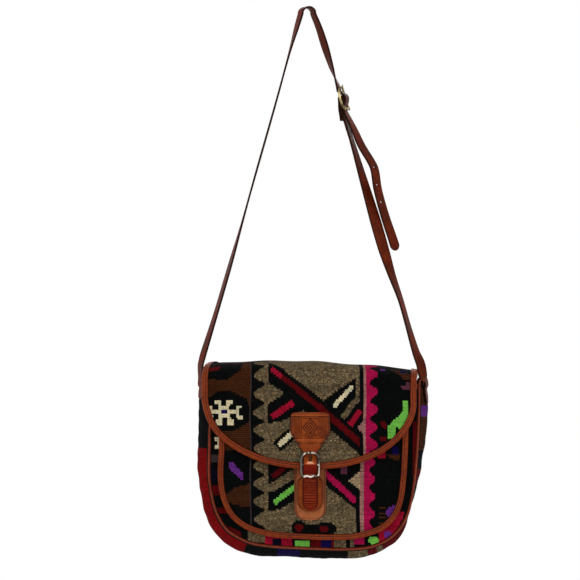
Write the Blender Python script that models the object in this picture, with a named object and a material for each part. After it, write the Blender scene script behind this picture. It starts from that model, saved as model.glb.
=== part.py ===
"""Kilim messenger bag with a buckled flap, hanging from a peg by its buckled shoulder strap.

Metres, +Z up, the front faces -Y. The origin is the inside of the strap's bend over the peg.
The bag's own frame starts at the middle of its top fold, and leans with the bag.
"""

import math

import bmesh
import bpy
from mathutils import Matrix, Vector

# Clearance between pieces that touch, and inside a binding that is folded round an edge
GAP = 0.0003
BINDING_PLAY = 0.0006

# Materials' thicknesses
KILIM = 0.003
CLOTH = 0.001
BINDING = 0.0013
PATCH = 0.0018
STRAP = 0.0024

# Where the bag hangs below the peg, and its lean
BAG_X = 0.0068
BAG_DROP = 0.4385
BAG_LEAN = math.radians(2.1)

# Body: the seam line of front and back, a straight run and then a rounded bottom
BODY_X = 0.0042
BODY_HALF_WIDTH = 0.1267
BODY_STRAIGHT = 0.0565
BODY_CORNER = 0.1664
BODY_POWER = 4.1
BODY_DEPTH = 0.062
FRONT_DOME = 0.008
MOUTH_DROP = 0.0175

# How far the gusset bulges out past the seam
BULGE_LEFT_TOP = 0.0145
BULGE_LEFT = 0.0105
BULGE_LOW_LEFT = 0.0135
BULGE_BOTTOM = 0.0125
BULGE_CORNER = 0.0025
BULGE_RIGHT = 0.0098
BULGE_RIGHT_TOP = 0.0055

# Piping in the two seams
PIPING_RADIUS = 0.00175

# Flap: a fold over the top and a half-elliptic front
FOLD_HEIGHT = 0.014
FOLD_POWER = 2.6
FLAP_X = -0.0033
FLAP_OVERHANG = 0.0023
FLAP_STRAIGHT = 0.0385
FLAP_CURVE = 0.085
FLAP_POWER = 2.12

# Flat pocket on the front
POCKET_X = 0.0043
POCKET_HALF_WIDTH = 0.1132
POCKET_TOP = 0.045
POCKET_STRAIGHT = 0.108
POCKET_CORNER = 0.1017
POCKET_POWER = 3.4

# Widths of the bindings' leaves
LEAF_FLAP = 0.0062
LEAF_POCKET = 0.0055
LEAF_MOUTH = 0.0055

# Closure on the middle of the front
CLOSURE_X = 0.0012
CLOSURE_DROP = 0.1195
TAB_TOP = 0.0562
TAB_HALF_WIDTH = 0.0240
TAB_CORNER = 0.005
TAB_LIFT = 0.009
TAB_SHOULDER = 0.0245
TAB_NECK = 0.0488
CLOSURE_STRAP_WIDTH = 0.0185
CLOSURE_STRAP_REACH = 0.0555
RIBS = 12
RIB_PITCH = 0.003
RIB_HEIGHT = 0.0006
RIB_MARGIN = 0.003
HOLDER_WIDTH = 0.031
HOLDER_REACH = 0.0575
HOLDER_FOLD = 0.038
HOLDER_LAND = 0.0295
HOLDER_TUCK = 0.012
PATCH_WIDTH = 0.039
PATCH_RISE = 0.012
PATCH_REACH = 0.0685

# Rounded ends: radius as a share of the width, and the least width at the tip
END_ROUND = 0.48
HOLDER_ROUND = 0.42
PATCH_ROUND = 0.38
TIP_SHARE = 0.12

# Buckles
WIRE = 0.0015
BUCKLE_SIDE_PLAY = 0.0006
BUCKLE_TOP = 0.0145
BUCKLE_SHOULDER = 0.0045
BUCKLE_ROUND = 2.6
BUCKLE_BOTTOM = 0.0135
BUCKLE_BOW = 0.0042
BUCKLE_WAVE = 0.0014
BUCKLE_WAIST = 0.92
BUCKLE_TAPER = 0.006
BAR_RADIUS = 0.00135
PRONG_WIDTH = 0.0026
PRONG_THICKNESS = 0.0016
SLEEVE_WALL = 0.0011
SLOT_PLAY = 0.0006
PRONG_HOLE_LENGTH = 0.0095

# Shoulder strap
STRAP_WIDTH = 0.015
STRAP_END_SHIFT = -0.0165
STRAP_SEWN = 0.021
SEWN_CLEAR = 0.001
SEWN_PLAY = 0.0002
PEG_RADIUS = 0.007
STRAP_BUCKLE_X = 0.0436
STRAP_BUCKLE_DROP = 0.1108
STRAP_BUCKLE_LEAN = math.radians(-9.0)
STRAP_BUCKLE_TURN = math.radians(70)
CHAPE_FOLD = 0.027
HOLE_RADIUS = 0.0018
HOLE_FIRST = 0.055
HOLE_PITCH = 0.022
HOLES_BELOW = 3

# Finishes: colour, roughness, metallic
KILIM_FINISH = ((0.16, 0.09, 0.06), 0.95, 0.0)
LEATHER_FINISH = ((0.27, 0.07, 0.02), 0.45, 0.0)
TAB_FINISH = ((0.38, 0.12, 0.04), 0.42, 0.0)
PATCH_FINISH = ((0.42, 0.16, 0.08), 0.50, 0.0)
STRAP_FINISH = ((0.07, 0.018, 0.010), 0.45, 0.0)
LINING_FINISH = ((0.05, 0.03, 0.02), 0.90, 0.0)
SILVER_FINISH = ((0.72, 0.70, 0.67), 0.22, 1.0)
BRASS_FINISH = ((0.60, 0.44, 0.20), 0.28, 1.0)

FRONT_Y = -BODY_DEPTH / 2
BACK_Y = BODY_DEPTH / 2
BODY_BOTTOM = BODY_STRAIGHT + BODY_CORNER
FLAP_HALF_WIDTH = BODY_HALF_WIDTH + FLAP_OVERHANG
SEAM_CLEAR = PIPING_RADIUS + GAP
POCKET_Y = KILIM / 2 + GAP + BINDING + BINDING_PLAY + KILIM / 2
PATCH_Y = POCKET_Y + KILIM / 2 + GAP + PATCH
FOLD_STEPS = 8
FLAP_Y = PATCH_Y + GAP + BINDING + BINDING_PLAY + CLOTH + GAP + KILIM / 2


def clear_scene():
    for thing in list(bpy.data.objects):
        bpy.data.objects.remove(thing, do_unlink=True)


def material(name, finish):
    made = bpy.data.materials.new(name)
    made.use_nodes = True
    shader = made.node_tree.nodes["Principled BSDF"]
    colour, roughness, metallic = finish
    shader.inputs["Base Color"].default_value = (*colour, 1.0)
    shader.inputs["Roughness"].default_value = roughness
    shader.inputs["Metallic"].default_value = metallic
    return made


def empty(name, parent, location, rotation):
    made = bpy.data.objects.new(name, None)
    made.parent = parent
    made.location = location
    made.rotation_euler = rotation
    bpy.context.collection.objects.link(made)
    return made


def solid(name, mesh, parent, finish, smooth=True):
    mesh.normal_update()
    bmesh.ops.recalc_face_normals(mesh, faces=mesh.faces)
    data = bpy.data.meshes.new(name)
    mesh.to_mesh(data)
    mesh.free()
    made = bpy.data.objects.new(name, data)
    made.parent = parent
    bpy.context.collection.objects.link(made)
    data.materials.append(material(name + "_finish", finish))
    for face in data.polygons:
        face.use_smooth = smooth
    return made


def cutter(name, mesh, parent):
    made = solid(name, mesh, parent, KILIM_FINISH, smooth=False)
    made.display_type = "WIRE"
    made.hide_render = True
    return made


def boolean(target, tool, operation):
    step = target.modifiers.new(tool.name, "BOOLEAN")
    step.object = tool
    step.operation = operation
    step.solver = "EXACT"


def spread(count):
    """Values from -1 to 1, closer together near the ends."""
    return [math.sin(math.pi / 2 * (2 * i / count - 1)) for i in range(count + 1)]


def steps(count):
    return [i / count for i in range(count + 1)]


def mix(a, b, t):
    return a + (b - a) * t


def ease(t):
    t = min(max(t, 0.0), 1.0)
    return t * t * (3 - 2 * t)


def rounded_end(xi, straight, corner, power):
    """How far down a rounded panel reaches at xi, from -1 to 1 across it."""
    return straight + corner * max(1 - abs(xi) ** power, 0.0) ** (1 / power)


def dome(x, z):
    """How far the soft front stands out at a place of the front: nothing at the seam."""
    xi = min(abs(x - BODY_X) / BODY_HALF_WIDTH, 1.0)
    zeta = min(max((-z - BODY_STRAIGHT) / BODY_CORNER, 0.0), 1.0)
    reach = min((xi ** BODY_POWER + zeta ** BODY_POWER) ** (2 / BODY_POWER), 1.0)
    return FRONT_DOME * (1 - reach)


def skin(rows, columns, place, thickness):
    """A closed sheet. place(i, j) gives a point of its middle surface and the way across it."""
    mesh = bmesh.new()
    faces = []
    for side in (0.5, -0.5):
        grid = []
        for i in range(rows + 1):
            line = []
            for j in range(columns + 1):
                point, across = place(i, j)
                line.append(mesh.verts.new(point + across * thickness * side))
            grid.append(line)
        faces.append(grid)
        for i in range(rows):
            for j in range(columns):
                mesh.faces.new((grid[i][j], grid[i][j + 1], grid[i + 1][j + 1], grid[i + 1][j]))
    rim = [(0, j) for j in range(columns)]
    rim += [(i, columns) for i in range(rows)]
    rim += [(rows, j) for j in range(columns, 0, -1)]
    rim += [(i, 0) for i in range(rows, 0, -1)]
    for here, there in zip(rim, rim[1:] + rim[:1]):
        top, low = faces
        mesh.faces.new((top[here[0]][here[1]], top[there[0]][there[1]],
                        low[there[0]][there[1]], low[here[0]][here[1]]))
    return mesh


def sweep(sections, closed=False):
    """A closed solid through sections of the same number of points."""
    mesh = bmesh.new()
    rings = [[mesh.verts.new(point) for point in section] for section in sections]
    count = len(rings[0])
    pairs = list(zip(rings, rings[1:]))
    if closed:
        pairs.append((rings[-1], rings[0]))
    for first, second in pairs:
        for k in range(count):
            n = (k + 1) % count
            mesh.faces.new((first[k], first[n], second[n], second[k]))
    if not closed:
        mesh.faces.new(rings[0][::-1])
        mesh.faces.new(rings[-1])
    return mesh


def tangents(points, closed=False):
    found = []
    last = len(points) - 1
    for i in range(len(points)):
        before = points[i - 1] if i or closed else points[0]
        after = points[(i + 1) % len(points)] if i < last or closed else points[last]
        found.append((after - before).normalized())
    return found


def smooth_path(stations, per_span):
    """Catmull-Rom values through stations, each a tuple of vectors or numbers."""
    found = []
    last = len(stations) - 1
    for k in range(last):
        p0 = stations[max(k - 1, 0)]
        p1 = stations[k]
        p2 = stations[k + 1]
        p3 = stations[min(k + 2, last)]
        for n in range(per_span):
            t = n / per_span
            value = []
            for a, b, c, d in zip(p0, p1, p2, p3):
                value.append(b + (c - a) * (t / 2) + (a * 2 - b * 5 + c * 4 - d) * (t * t / 2)
                             + (b * 3 - a - c * 3 + d) * (t ** 3 / 2))
            found.append(tuple(value))
    found.append(stations[last])
    return found


def tube(points, radius, sides=8, closed=False):
    sections = []
    side = None
    for point, along in zip(points, tangents(points, closed)):
        if side is None:
            side = along.cross(Vector((0.3, 1, 0.2))).normalized()
        side = (side - along * side.dot(along)).normalized()
        other = along.cross(side)
        ring = []
        for k in range(sides):
            angle = 2 * math.pi * k / sides
            ring.append(point + (side * math.cos(angle) + other * math.sin(angle)) * radius)
        sections.append(ring)
    return sweep(sections, closed)


def ribbon(stations):
    """A leather strip through stations of point, width direction, width and thickness."""
    points = [s[0] for s in stations]
    sections = []
    for station, along in zip(stations, tangents(points)):
        point, across, width, thickness = station
        across = (across - along * across.dot(along)).normalized()
        out = along.cross(across)
        half_width = width / 2
        half = thickness / 2
        bevel = min(half * 0.6, half_width * 0.5)
        ring = []
        for a, b in ((-1, -1), (1, -1), (1, 1), (-1, 1)):
            near_end = (a * half_width, b * (half - bevel))
            near_face = (a * (half_width - bevel), b * half)
            pair = (near_end, near_face) if a * b > 0 else (near_face, near_end)
            ring.extend(point + across * x + out * y for x, y in pair)
        sections.append(ring)
    return sweep(sections)


def binding(path, stack, leaf):
    """A strip folded round an edge. path holds points of the edge, ways out and ways across."""
    inner = stack / 2 + BINDING_PLAY
    outer = inner + BINDING
    web = BINDING_PLAY + BINDING
    round_off = BINDING * 0.8
    profile = [(-leaf, -inner), (BINDING_PLAY, -inner), (BINDING_PLAY, inner), (-leaf, inner),
               (-leaf + BINDING / 3, outer), (web - round_off, outer), (web, outer - round_off),
               (web, -outer + round_off), (web - round_off, -outer), (-leaf + BINDING / 3, -outer)]
    sections = []
    for point, out, across in path:
        sections.append([point + out * e + across * n for e, n in profile])
    return sweep(sections)


def edge_frames(points, inner_points, facing):
    """Frames of an edge: inner_points lie on the same sheet, facing gives its outer side."""
    found = []
    for point, inner, along, face in zip(points, inner_points, tangents(points), facing):
        out = point - inner
        out = (out - along * out.dot(along)).normalized()
        across = along.cross(out).normalized()
        if across.dot(face) < 0:
            across = -across
        found.append((point, out, across))
    return found


def seam_point(xi, down):
    """A place of the seam outline in the bag's frame, at depth 0."""
    return Vector((BODY_X + BODY_HALF_WIDTH * xi, 0, -down))


def seam_path(top, side_steps, bottom_steps):
    """The seam outline from the left top, round the bottom, to the right top."""
    down = [mix(top, BODY_STRAIGHT, t) for t in steps(side_steps)[:-1]]
    path = [seam_point(-1, d) for d in down]
    for xi in spread(bottom_steps):
        path.append(seam_point(xi, rounded_end(xi, BODY_STRAIGHT, BODY_CORNER, BODY_POWER)))
    path += [seam_point(1, d) for d in reversed(down)]
    return path


def outward(path):
    ways = []
    for along in tangents(path):
        ways.append(Vector((0, 1, 0)).cross(along).normalized())
    return ways


def bulge_at(share):
    """The gusset's bulge at a share of the seam's length from the left top."""
    stops = [(0.0, BULGE_LEFT_TOP), (0.22, BULGE_LEFT), (0.35, BULGE_LOW_LEFT), (0.60, BULGE_BOTTOM),
             (0.74, BULGE_CORNER), (0.89, BULGE_RIGHT), (1.0, BULGE_RIGHT_TOP)]
    for (s0, b0), (s1, b1) in zip(stops, stops[1:]):
        if share <= s1:
            return mix(b0, b1, ease((share - s0) / (s1 - s0)))
    return BULGE_RIGHT_TOP


def shares(path):
    run = [0.0]
    for a, b in zip(path, path[1:]):
        run.append(run[-1] + (b - a).length)
    return [r / run[-1] for r in run]


def side_bulge(side, down):
    """The gusset's bulge on its straight left (-1) or right (1) side."""
    path = seam_path(MOUTH_DROP, 1, 34)
    length = sum((b - a).length for a, b in zip(path, path[1:]))
    share = (down - MOUTH_DROP) / length
    return bulge_at(share if side < 0 else 1 - share)


def gusset_sheet(parent, name, finish, half_depth, radial, top, thickness, columns=6):
    """A band that follows the seam at a radial offset and bulges between the seams."""
    path = seam_path(top, 3, 26)
    ways = outward(path)
    bulges = [bulge_at(s) for s in shares(path)]
    reach = BODY_DEPTH / 2

    def place(i, j):
        y = half_depth * (2 * j / columns - 1)
        swell = bulges[i] * (1 - (y / reach) ** 2)
        return path[i] + ways[i] * (radial + swell) + Vector((0, y, 0)), ways[i]

    mesh = skin(len(path) - 1, columns, place, thickness)
    return solid(name, mesh, parent, finish)


def front_sheet(parent, name, finish, top, offset, thickness, columns=14, rows=7):
    """The front panel's form, moved out of the front seam's plane by offset."""
    across = spread(columns)
    half = BODY_HALF_WIDTH - SEAM_CLEAR

    def place(i, j):
        xi = across[j]
        low = rounded_end(xi, BODY_STRAIGHT, BODY_CORNER - SEAM_CLEAR, BODY_POWER)
        z = -mix(top, low, (i / rows) ** 0.8)
        x = BODY_X + half * xi
        return Vector((x, FRONT_Y - offset - dome(x, z), z)), Vector((0, -1, 0))

    return solid(name, skin(rows, columns, place, thickness), parent, finish)


def pocket_edge(xi, inset=0.0):
    low = rounded_end(xi, POCKET_STRAIGHT, POCKET_CORNER - inset, POCKET_POWER)
    return POCKET_X + (POCKET_HALF_WIDTH - inset) * xi, low


def on_front(x, z, offset):
    return Vector((x, FRONT_Y - offset - dome(x, z), z))


def pocket_sheet(parent, columns=14, rows=7):
    across = spread(columns)

    def place(i, j):
        x, low = pocket_edge(across[j])
        z = -mix(POCKET_TOP, low, (i / rows) ** 0.8)
        return on_front(x, z, POCKET_Y), Vector((0, -1, 0))

    return solid("pocket_panel", skin(rows, columns, place, KILIM), parent, KILIM_FINISH)


def front_edge_frames(flat, offset, leaf, centre):
    """Frames of an edge of a sheet on the front. flat holds its (x, z) places."""
    points = [on_front(x, z, offset) for x, z in flat]
    inner = []
    for point, along in zip(points, tangents(points)):
        out = along.cross(Vector((0, 1, 0))).normalized()
        if out.dot(point - centre) < 0:
            out = -out
        inner.append(on_front(point.x - out.x * leaf, point.z - out.z * leaf, offset))
    return edge_frames(points, inner, [Vector((0, -1, 0))] * len(points))


def pocket_bindings(parent):
    down = [mix(POCKET_TOP, POCKET_STRAIGHT, t) for t in steps(4)[:-1]]
    flat = [(pocket_edge(-1)[0], -d) for d in down]
    for xi in spread(26):
        x, low = pocket_edge(xi)
        flat.append((x, -low))
    flat += [(pocket_edge(1)[0], -d) for d in reversed(down)]
    centre = Vector((POCKET_X, FRONT_Y, -POCKET_STRAIGHT))
    mesh = binding(front_edge_frames(flat, POCKET_Y, LEAF_POCKET, centre), KILIM, LEAF_POCKET)
    solid("pocket_binding", mesh, parent, LEATHER_FINISH)

    reach = POCKET_HALF_WIDTH - LEAF_POCKET - 2 * GAP
    flat = [(POCKET_X + reach * (2 * t - 1), -POCKET_TOP) for t in steps(16)]
    mesh = binding(front_edge_frames(flat, POCKET_Y, LEAF_MOUTH, centre), KILIM, LEAF_MOUTH)
    solid("pocket_mouth_binding", mesh, parent, LEATHER_FINISH)


def fold_y(side):
    """Middle surface of back (side 1) and flap (side -1) at the fold's foot."""
    if side > 0:
        return BACK_Y
    return FRONT_Y - FLAP_Y


def arch(theta, x):
    """The fold's middle line and its way out, theta from 0 at the back to pi at the flap."""
    front = fold_y(-1) - dome(x, -FOLD_HEIGHT)
    centre = (BACK_Y + front) / 2
    half = (BACK_Y - front) / 2

    def spot(angle):
        c = math.cos(angle)
        s = math.sin(angle)
        y = centre + math.copysign(abs(c) ** (2 / FOLD_POWER), c) * half
        return Vector((0, y, -FOLD_HEIGHT + FOLD_HEIGHT * max(s, 0.0) ** (2 / FOLD_POWER)))

    small = 0.01
    along = spot(min(theta + small, math.pi)) - spot(max(theta - small, 0.0))
    out = Vector((0, along.z, -along.y)).normalized()
    return spot(theta), out


def fold_place(xi, row, back_reach, flap_inset, inset):
    """A place of the folded sheet. row is (part, share): back, fold or flap."""
    part, share = row
    back_half = BODY_HALF_WIDTH - SEAM_CLEAR - inset
    if part == "back":
        z = -mix(back_reach(xi), FOLD_HEIGHT, share)
        x = BODY_X + back_half * xi
        return Vector((x, BACK_Y, z)), Vector((0, 1, 0))
    if part == "fold":
        turn = ease(share)
        x = mix(BODY_X, FLAP_X, turn) + mix(back_half, FLAP_HALF_WIDTH - inset, turn) * xi
        point, out = arch(math.pi * share, x)
        return Vector((x, point.y, point.z)), out
    low = rounded_end(xi, FLAP_STRAIGHT, FLAP_CURVE - flap_inset, FLAP_POWER)
    z = -mix(FOLD_HEIGHT, low, share)
    x = FLAP_X + (FLAP_HALF_WIDTH - inset) * xi
    front = Vector((x, FRONT_Y - FLAP_Y - dome(x, z), z))
    return front, Vector((0, -1, 0))


def fold_rows(back, fold, flap):
    rows = [("back", t) for t in steps(back)[:-1]]
    rows += [("fold", t) for t in steps(fold)]
    rows += [("flap", t ** 0.8) for t in steps(flap)[1:]]
    return rows


def back_reach_full(xi):
    return rounded_end(xi, BODY_STRAIGHT, BODY_CORNER - SEAM_CLEAR, BODY_POWER)


def folded_sheet(parent, name, finish, inward, inset, thickness, columns):
    """Back and flap in one sheet, moved inward from the kilim's middle surface."""
    rows = fold_rows(5, FOLD_STEPS, 7)
    across = spread(columns)

    def place(i, j):
        point, out = fold_place(across[j], rows[i], back_reach_full, inset, inset)
        return point - out * inward, out

    return solid(name, skin(len(rows) - 1, columns, place, thickness), parent, finish)


def flap_binding(parent):
    """Starts at the back above the gusset, goes over the fold and round the flap."""
    stack = KILIM + GAP + CLOTH
    inward = (GAP + CLOTH) / 2
    rows = [("fold", t) for t in steps(FOLD_STEPS)] + [("flap", t) for t in (0.35, 0.7)]
    places = [(-1, row) for row in rows]
    places += [(xi, ("flap", 1.0)) for xi in spread(28)]
    places += [(1, row) for row in reversed(rows)]

    def middle(xi, row):
        point, out = fold_place(xi, row, back_reach_full, 0.0, 0.0)
        return point - out * inward, out

    points = [middle(*place)[0] for place in places]
    facing = [middle(*place)[1] for place in places]
    inner = []
    for (xi, row), point, along in zip(places, points, tangents(points)):
        if row == ("flap", 1.0) and abs(xi) < 1:
            out = along.cross(Vector((0, 1, 0))).normalized()
            if out.z > 0:
                out = -out
            x = point.x - out.x * LEAF_FLAP
            z = point.z - out.z * LEAF_FLAP
            inner.append(Vector((x, FRONT_Y - FLAP_Y - dome(x, z) + inward, z)))
            continue
        share = 1 - LEAF_FLAP / FLAP_HALF_WIDTH
        inner.append(middle(xi * share, row)[0])
    frames = edge_frames(points, inner, facing)
    solid("flap_binding", binding(frames, stack, LEAF_FLAP), parent, LEATHER_FINISH)


def mouth_bindings(parent):
    stack = KILIM + GAP + CLOTH
    inward = (GAP + CLOTH) / 2
    top = MOUTH_DROP
    half = BODY_HALF_WIDTH - SEAM_CLEAR
    flat = [(BODY_X + half * (2 * t - 1), -top) for t in steps(16)]
    centre = Vector((BODY_X, FRONT_Y, -BODY_BOTTOM))
    mesh = binding(front_edge_frames(flat, -inward, LEAF_MOUTH, centre), stack, LEAF_MOUTH)
    solid("mouth_binding_front", mesh, parent, LEATHER_FINISH)

    reach = BODY_DEPTH / 2 - stack / 2 - inward - GAP * 2 - BINDING
    reach -= KILIM / 2
    for name, side in (("left", -1), ("right", 1)):
        points = []
        for t in steps(8):
            y = reach * (2 * t - 1)
            swell = side_bulge(side, top) * (1 - (y / (BODY_DEPTH / 2)) ** 2)
            x = BODY_X + side * (BODY_HALF_WIDTH + swell - inward)
            points.append(Vector((x, y, -top)))
        frames = [(p, Vector((0, 0, 1)), Vector((side, 0, 0))) for p in points]
        mesh = binding(frames, stack, LEAF_MOUTH)
        solid("mouth_binding_" + name, mesh, parent, LEATHER_FINISH)


def piping(parent, name, y):
    path = [point + Vector((0, y, 0)) for point in seam_path(MOUTH_DROP, 2, 34)]
    solid(name, tube(path, PIPING_RADIUS, sides=6), parent, LEATHER_FINISH)


class Buckle:
    """Sizes of a centre-bar buckle. Its frame: x across, z along the strap, -y out."""

    def __init__(self, strap_width, chape_thickness, strap_thickness, bed=lambda run, low: low):
        self.bed = bed
        self.waist = strap_width * BUCKLE_WAIST
        self.chape = chape_thickness
        self.strap = strap_thickness
        self.half = self.waist / 2 + BUCKLE_SIDE_PLAY + WIRE
        self.behind = WIRE + GAP + strap_thickness / 2
        self.loop = WIRE + GAP + chape_thickness / 2
        self.over = WIRE + GAP + chape_thickness + GAP + strap_thickness / 2
        self.sleeve = WIRE + GAP + SLEEVE_WALL
        self.slot = PRONG_WIDTH + 2 * SLOT_PLAY
        self.apart = chape_thickness / 2 + GAP + strap_thickness / 2
        self.through = mix(BUCKLE_SHOULDER, BUCKLE_TOP, 0.5)

    def leaf(self, run):
        """Depth of the chape's front leaf at run below the bar."""
        low = self.behind - BUCKLE_BOW + self.apart + GAP
        if run <= BUCKLE_BOTTOM:
            return mix(-self.loop, low, ease(run / BUCKLE_BOTTOM))
        return mix(low, self.bed(run, low), ease((run - BUCKLE_BOTTOM) / (HOLDER_LAND - BUCKLE_BOTTOM)))

    def beside(self, run, distance):
        """A place at a distance out from the front leaf's middle line."""
        step = 0.0003
        slope = (self.leaf(run + step) - self.leaf(run - step)) / (2 * step)
        size = math.hypot(1.0, slope)
        return self.leaf(run) - distance / size, -run - distance * slope / size

    def crossing(self):
        """Where the strap leaves the chape's loop, and where it is behind the top bar."""
        distance = math.hypot(self.behind, self.through)
        turn = math.atan2(self.through, -self.behind) - math.acos(self.over / distance)
        return turn, (self.behind, self.through)

    def strap_stations(self):
        """The strap's middle line from above the top bar to the bottom bar."""
        turn, behind = self.crossing()
        found = [(self.behind, BUCKLE_TOP), behind]
        leave = (-math.cos(turn) * self.over, math.sin(turn) * self.over)
        found.append(((behind[0] + leave[0]) / 2, (behind[1] + leave[1]) / 2))
        for share in (1.0, 0.5, 0.0):
            angle = turn * share
            found.append((-math.cos(angle) * self.over, math.sin(angle) * self.over))
        found += [self.beside(BUCKLE_BOTTOM * share, self.apart) for share in (0.22, 0.45, 0.7, 1.0)]
        return found

    def chape_stations(self):
        """Front leaf from below, round the bar, and the back leaf down again."""
        pitch = self.chape + GAP
        low = self.leaf(BUCKLE_BOTTOM)
        front = []
        back = []
        for share in (1.0, 0.75, 0.5, 0.25):
            run = BUCKLE_BOTTOM * share
            front.append((self.leaf(run), -run))
            back.append((mix(self.loop, low + pitch, ease(share)), -run))
        back.reverse()
        turn = []
        for angle in (0, 36, 72, 108, 144, 180):
            a = math.radians(angle)
            turn.append((-math.cos(a) * self.loop, math.sin(a) * self.loop))
        return front, turn, back


def buckle_frame(name, buckle, parent, finish):
    """A stirrup of wire: round top, straight sides, and a wavy bottom bar that stands out."""
    half = buckle.half
    rise = BUCKLE_TOP - BUCKLE_SHOULDER
    points = []
    for angle in range(0, 181, 15):
        c = math.cos(math.radians(angle))
        s = math.sin(math.radians(angle))
        x = math.copysign(abs(c) ** (2 / BUCKLE_ROUND), c) * half
        points.append(Vector((x, 0, BUCKLE_SHOULDER + rise * s ** (2 / BUCKLE_ROUND))))
    side = [(-half, 0.0, 0.0), (-half, -BUCKLE_BOW * 0.3, -BUCKLE_BOTTOM * 0.5),
            (-half * 0.97, -BUCKLE_BOW * 0.8, -BUCKLE_BOTTOM * 0.86)]
    points += [Vector(p) for p in side]
    for k in (-2, -1, 0, 1, 2):
        wave = BUCKLE_WAVE / 2 * math.cos(math.pi * k)
        points.append(Vector((half * 0.37 * k, -BUCKLE_BOW, -BUCKLE_BOTTOM - wave)))
    points += [Vector((-x, y, z)) for x, y, z in reversed(side)]
    frame = solid(name, tube(points, WIRE, sides=8, closed=True), parent, finish)
    bar = tube([Vector((-half, 0, 0)), Vector((half, 0, 0))], BAR_RADIUS, sides=10)
    boolean(frame, cutter(name + "_bar", bar, parent), "UNION")
    return frame


def buckle_prong(name, buckle, parent, finish):
    """A sleeve on the bar and a tongue that rests on the top bar."""
    inner = WIRE + GAP
    width = PRONG_WIDTH
    sections = []
    for k in range(16):
        a = 2 * math.pi * k / 16
        way = Vector((0, math.cos(a), math.sin(a)))
        section = []
        for x, r in ((-1, inner), (1, inner), (1, buckle.sleeve), (-1, buckle.sleeve)):
            section.append(Vector((x * width / 2, 0, 0)) + way * r)
        sections.append(section)
    prong = solid(name, sweep(sections, closed=True), parent, finish)
    rest = -(WIRE + GAP + PRONG_THICKNESS / 2)
    start = inner + SLEEVE_WALL * 0.5
    run = [(0.0, start, 1.0, 1.0), (rest * 0.5, BUCKLE_TOP * 0.45, 1.0, 1.0),
           (rest, BUCKLE_TOP * 0.85, 0.9, 1.0), (rest, BUCKLE_TOP, 0.8, 0.95),
           (rest, BUCKLE_TOP + WIRE + GAP * 3, 0.6, 0.6)]
    stations = []
    for y, z, w, t in run:
        stations.append((Vector((0, y, z)), Vector((1, 0, 0)), w * width, t * PRONG_THICKNESS))
    tongue = cutter(name + "_tongue", ribbon(stations), parent)
    boolean(prong, tongue, "UNION")
    return prong


def box_mesh(size, matrix):
    mesh = bmesh.new()
    bmesh.ops.create_cube(mesh, size=1.0, matrix=matrix @ Matrix.Diagonal((*size, 1.0)))
    return mesh


def prong_hole(target, name, buckle, parent):
    """The long hole in the strap that the prong goes through."""
    _, behind, middle, leave = buckle.strap_stations()[:4]
    lean = math.atan2(behind[0] - leave[0], behind[1] - leave[1])
    y, z = middle
    matrix = Matrix.Translation((0, y, z)) @ Matrix.Rotation(-lean, 4, "X")
    size = (PRONG_WIDTH + 2 * SLOT_PLAY, 4 * buckle.strap, PRONG_HOLE_LENGTH)
    boolean(target, cutter(name, box_mesh(size, matrix), parent), "DIFFERENCE")


def chape_slot(target, name, buckle, parent):
    """The slot in the loop where the prong's sleeve sits."""
    height = 2 * (buckle.sleeve + buckle.chape)
    matrix = Matrix.Translation((0, 0, height * 0.12))
    size = (buckle.slot, 4 * buckle.over, height)
    boolean(target, cutter(name, box_mesh(size, matrix), parent), "DIFFERENCE")


def closure_base():
    """Depths in the closure's frame of the pocket's face and of the flap binding's face."""
    return FRONT_Y - POCKET_Y - KILIM / 2, FRONT_Y - FLAP_Y - KILIM / 2


def closure_dome(z):
    return dome(BODY_X, z - CLOSURE_DROP)


def closure_parts(bag):
    """Tab, patch, holder and buckle on the middle of the front."""
    pocket_face, flap_face = closure_base()
    bar_y = flap_face - closure_dome(0) - BINDING_PLAY - BINDING - 3 * GAP - PATCH - GAP - WIRE

    def bed(run, low):
        tucked = ease((HOLDER_FOLD + HOLDER_TUCK - run) / HOLDER_TUCK)
        face = patch_face(run, bar_y, pocket_face)
        return face - 1.5 * GAP - PATCH / 2 - (PATCH + GAP) * tucked

    buckle = Buckle(CLOSURE_STRAP_WIDTH, PATCH, STRAP, bed)
    spot = (CLOSURE_X, bar_y, -CLOSURE_DROP)
    base = empty("closure", bag, spot, (0, -BAG_LEAN, 0))
    buckle_frame("closure_buckle", buckle, base, SILVER_FINISH)
    buckle_prong("closure_prong", buckle, base, SILVER_FINISH)
    closure_patch(base, bar_y, pocket_face)
    closure_holder(base, buckle)
    closure_tab(base, bar_y, flap_face, buckle)


def rounded_width(width, run, reach, radius):
    """Width of a strip at run towards an end at reach, rounded with the given radius."""
    left = reach - run
    if left >= radius:
        return width
    cut = radius - math.sqrt(max(radius ** 2 - (radius - left) ** 2, 0.0))
    return max(width - 2 * cut, width * TIP_SHARE)


def closure_patch(base, bar_y, pocket_face):
    across = Vector((1, 0, 0))
    stations = []
    for t in steps(16):
        run = mix(-PATCH_RISE, PATCH_REACH, 1 - (1 - t) ** 1.6)
        y = pocket_face - closure_dome(-run) - GAP - PATCH / 2 - bar_y
        width = rounded_width(PATCH_WIDTH, run, PATCH_REACH, PATCH_WIDTH * PATCH_ROUND)
        stations.append((Vector((0, y, -run)), across, width, PATCH))
    solid("pocket_patch", ribbon(stations), base, PATCH_FINISH)


def patch_face(run, bar_y, pocket_face):
    """Depth of the patch's face, in the closure's frame."""
    return pocket_face - closure_dome(-run) - GAP - PATCH - bar_y


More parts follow.
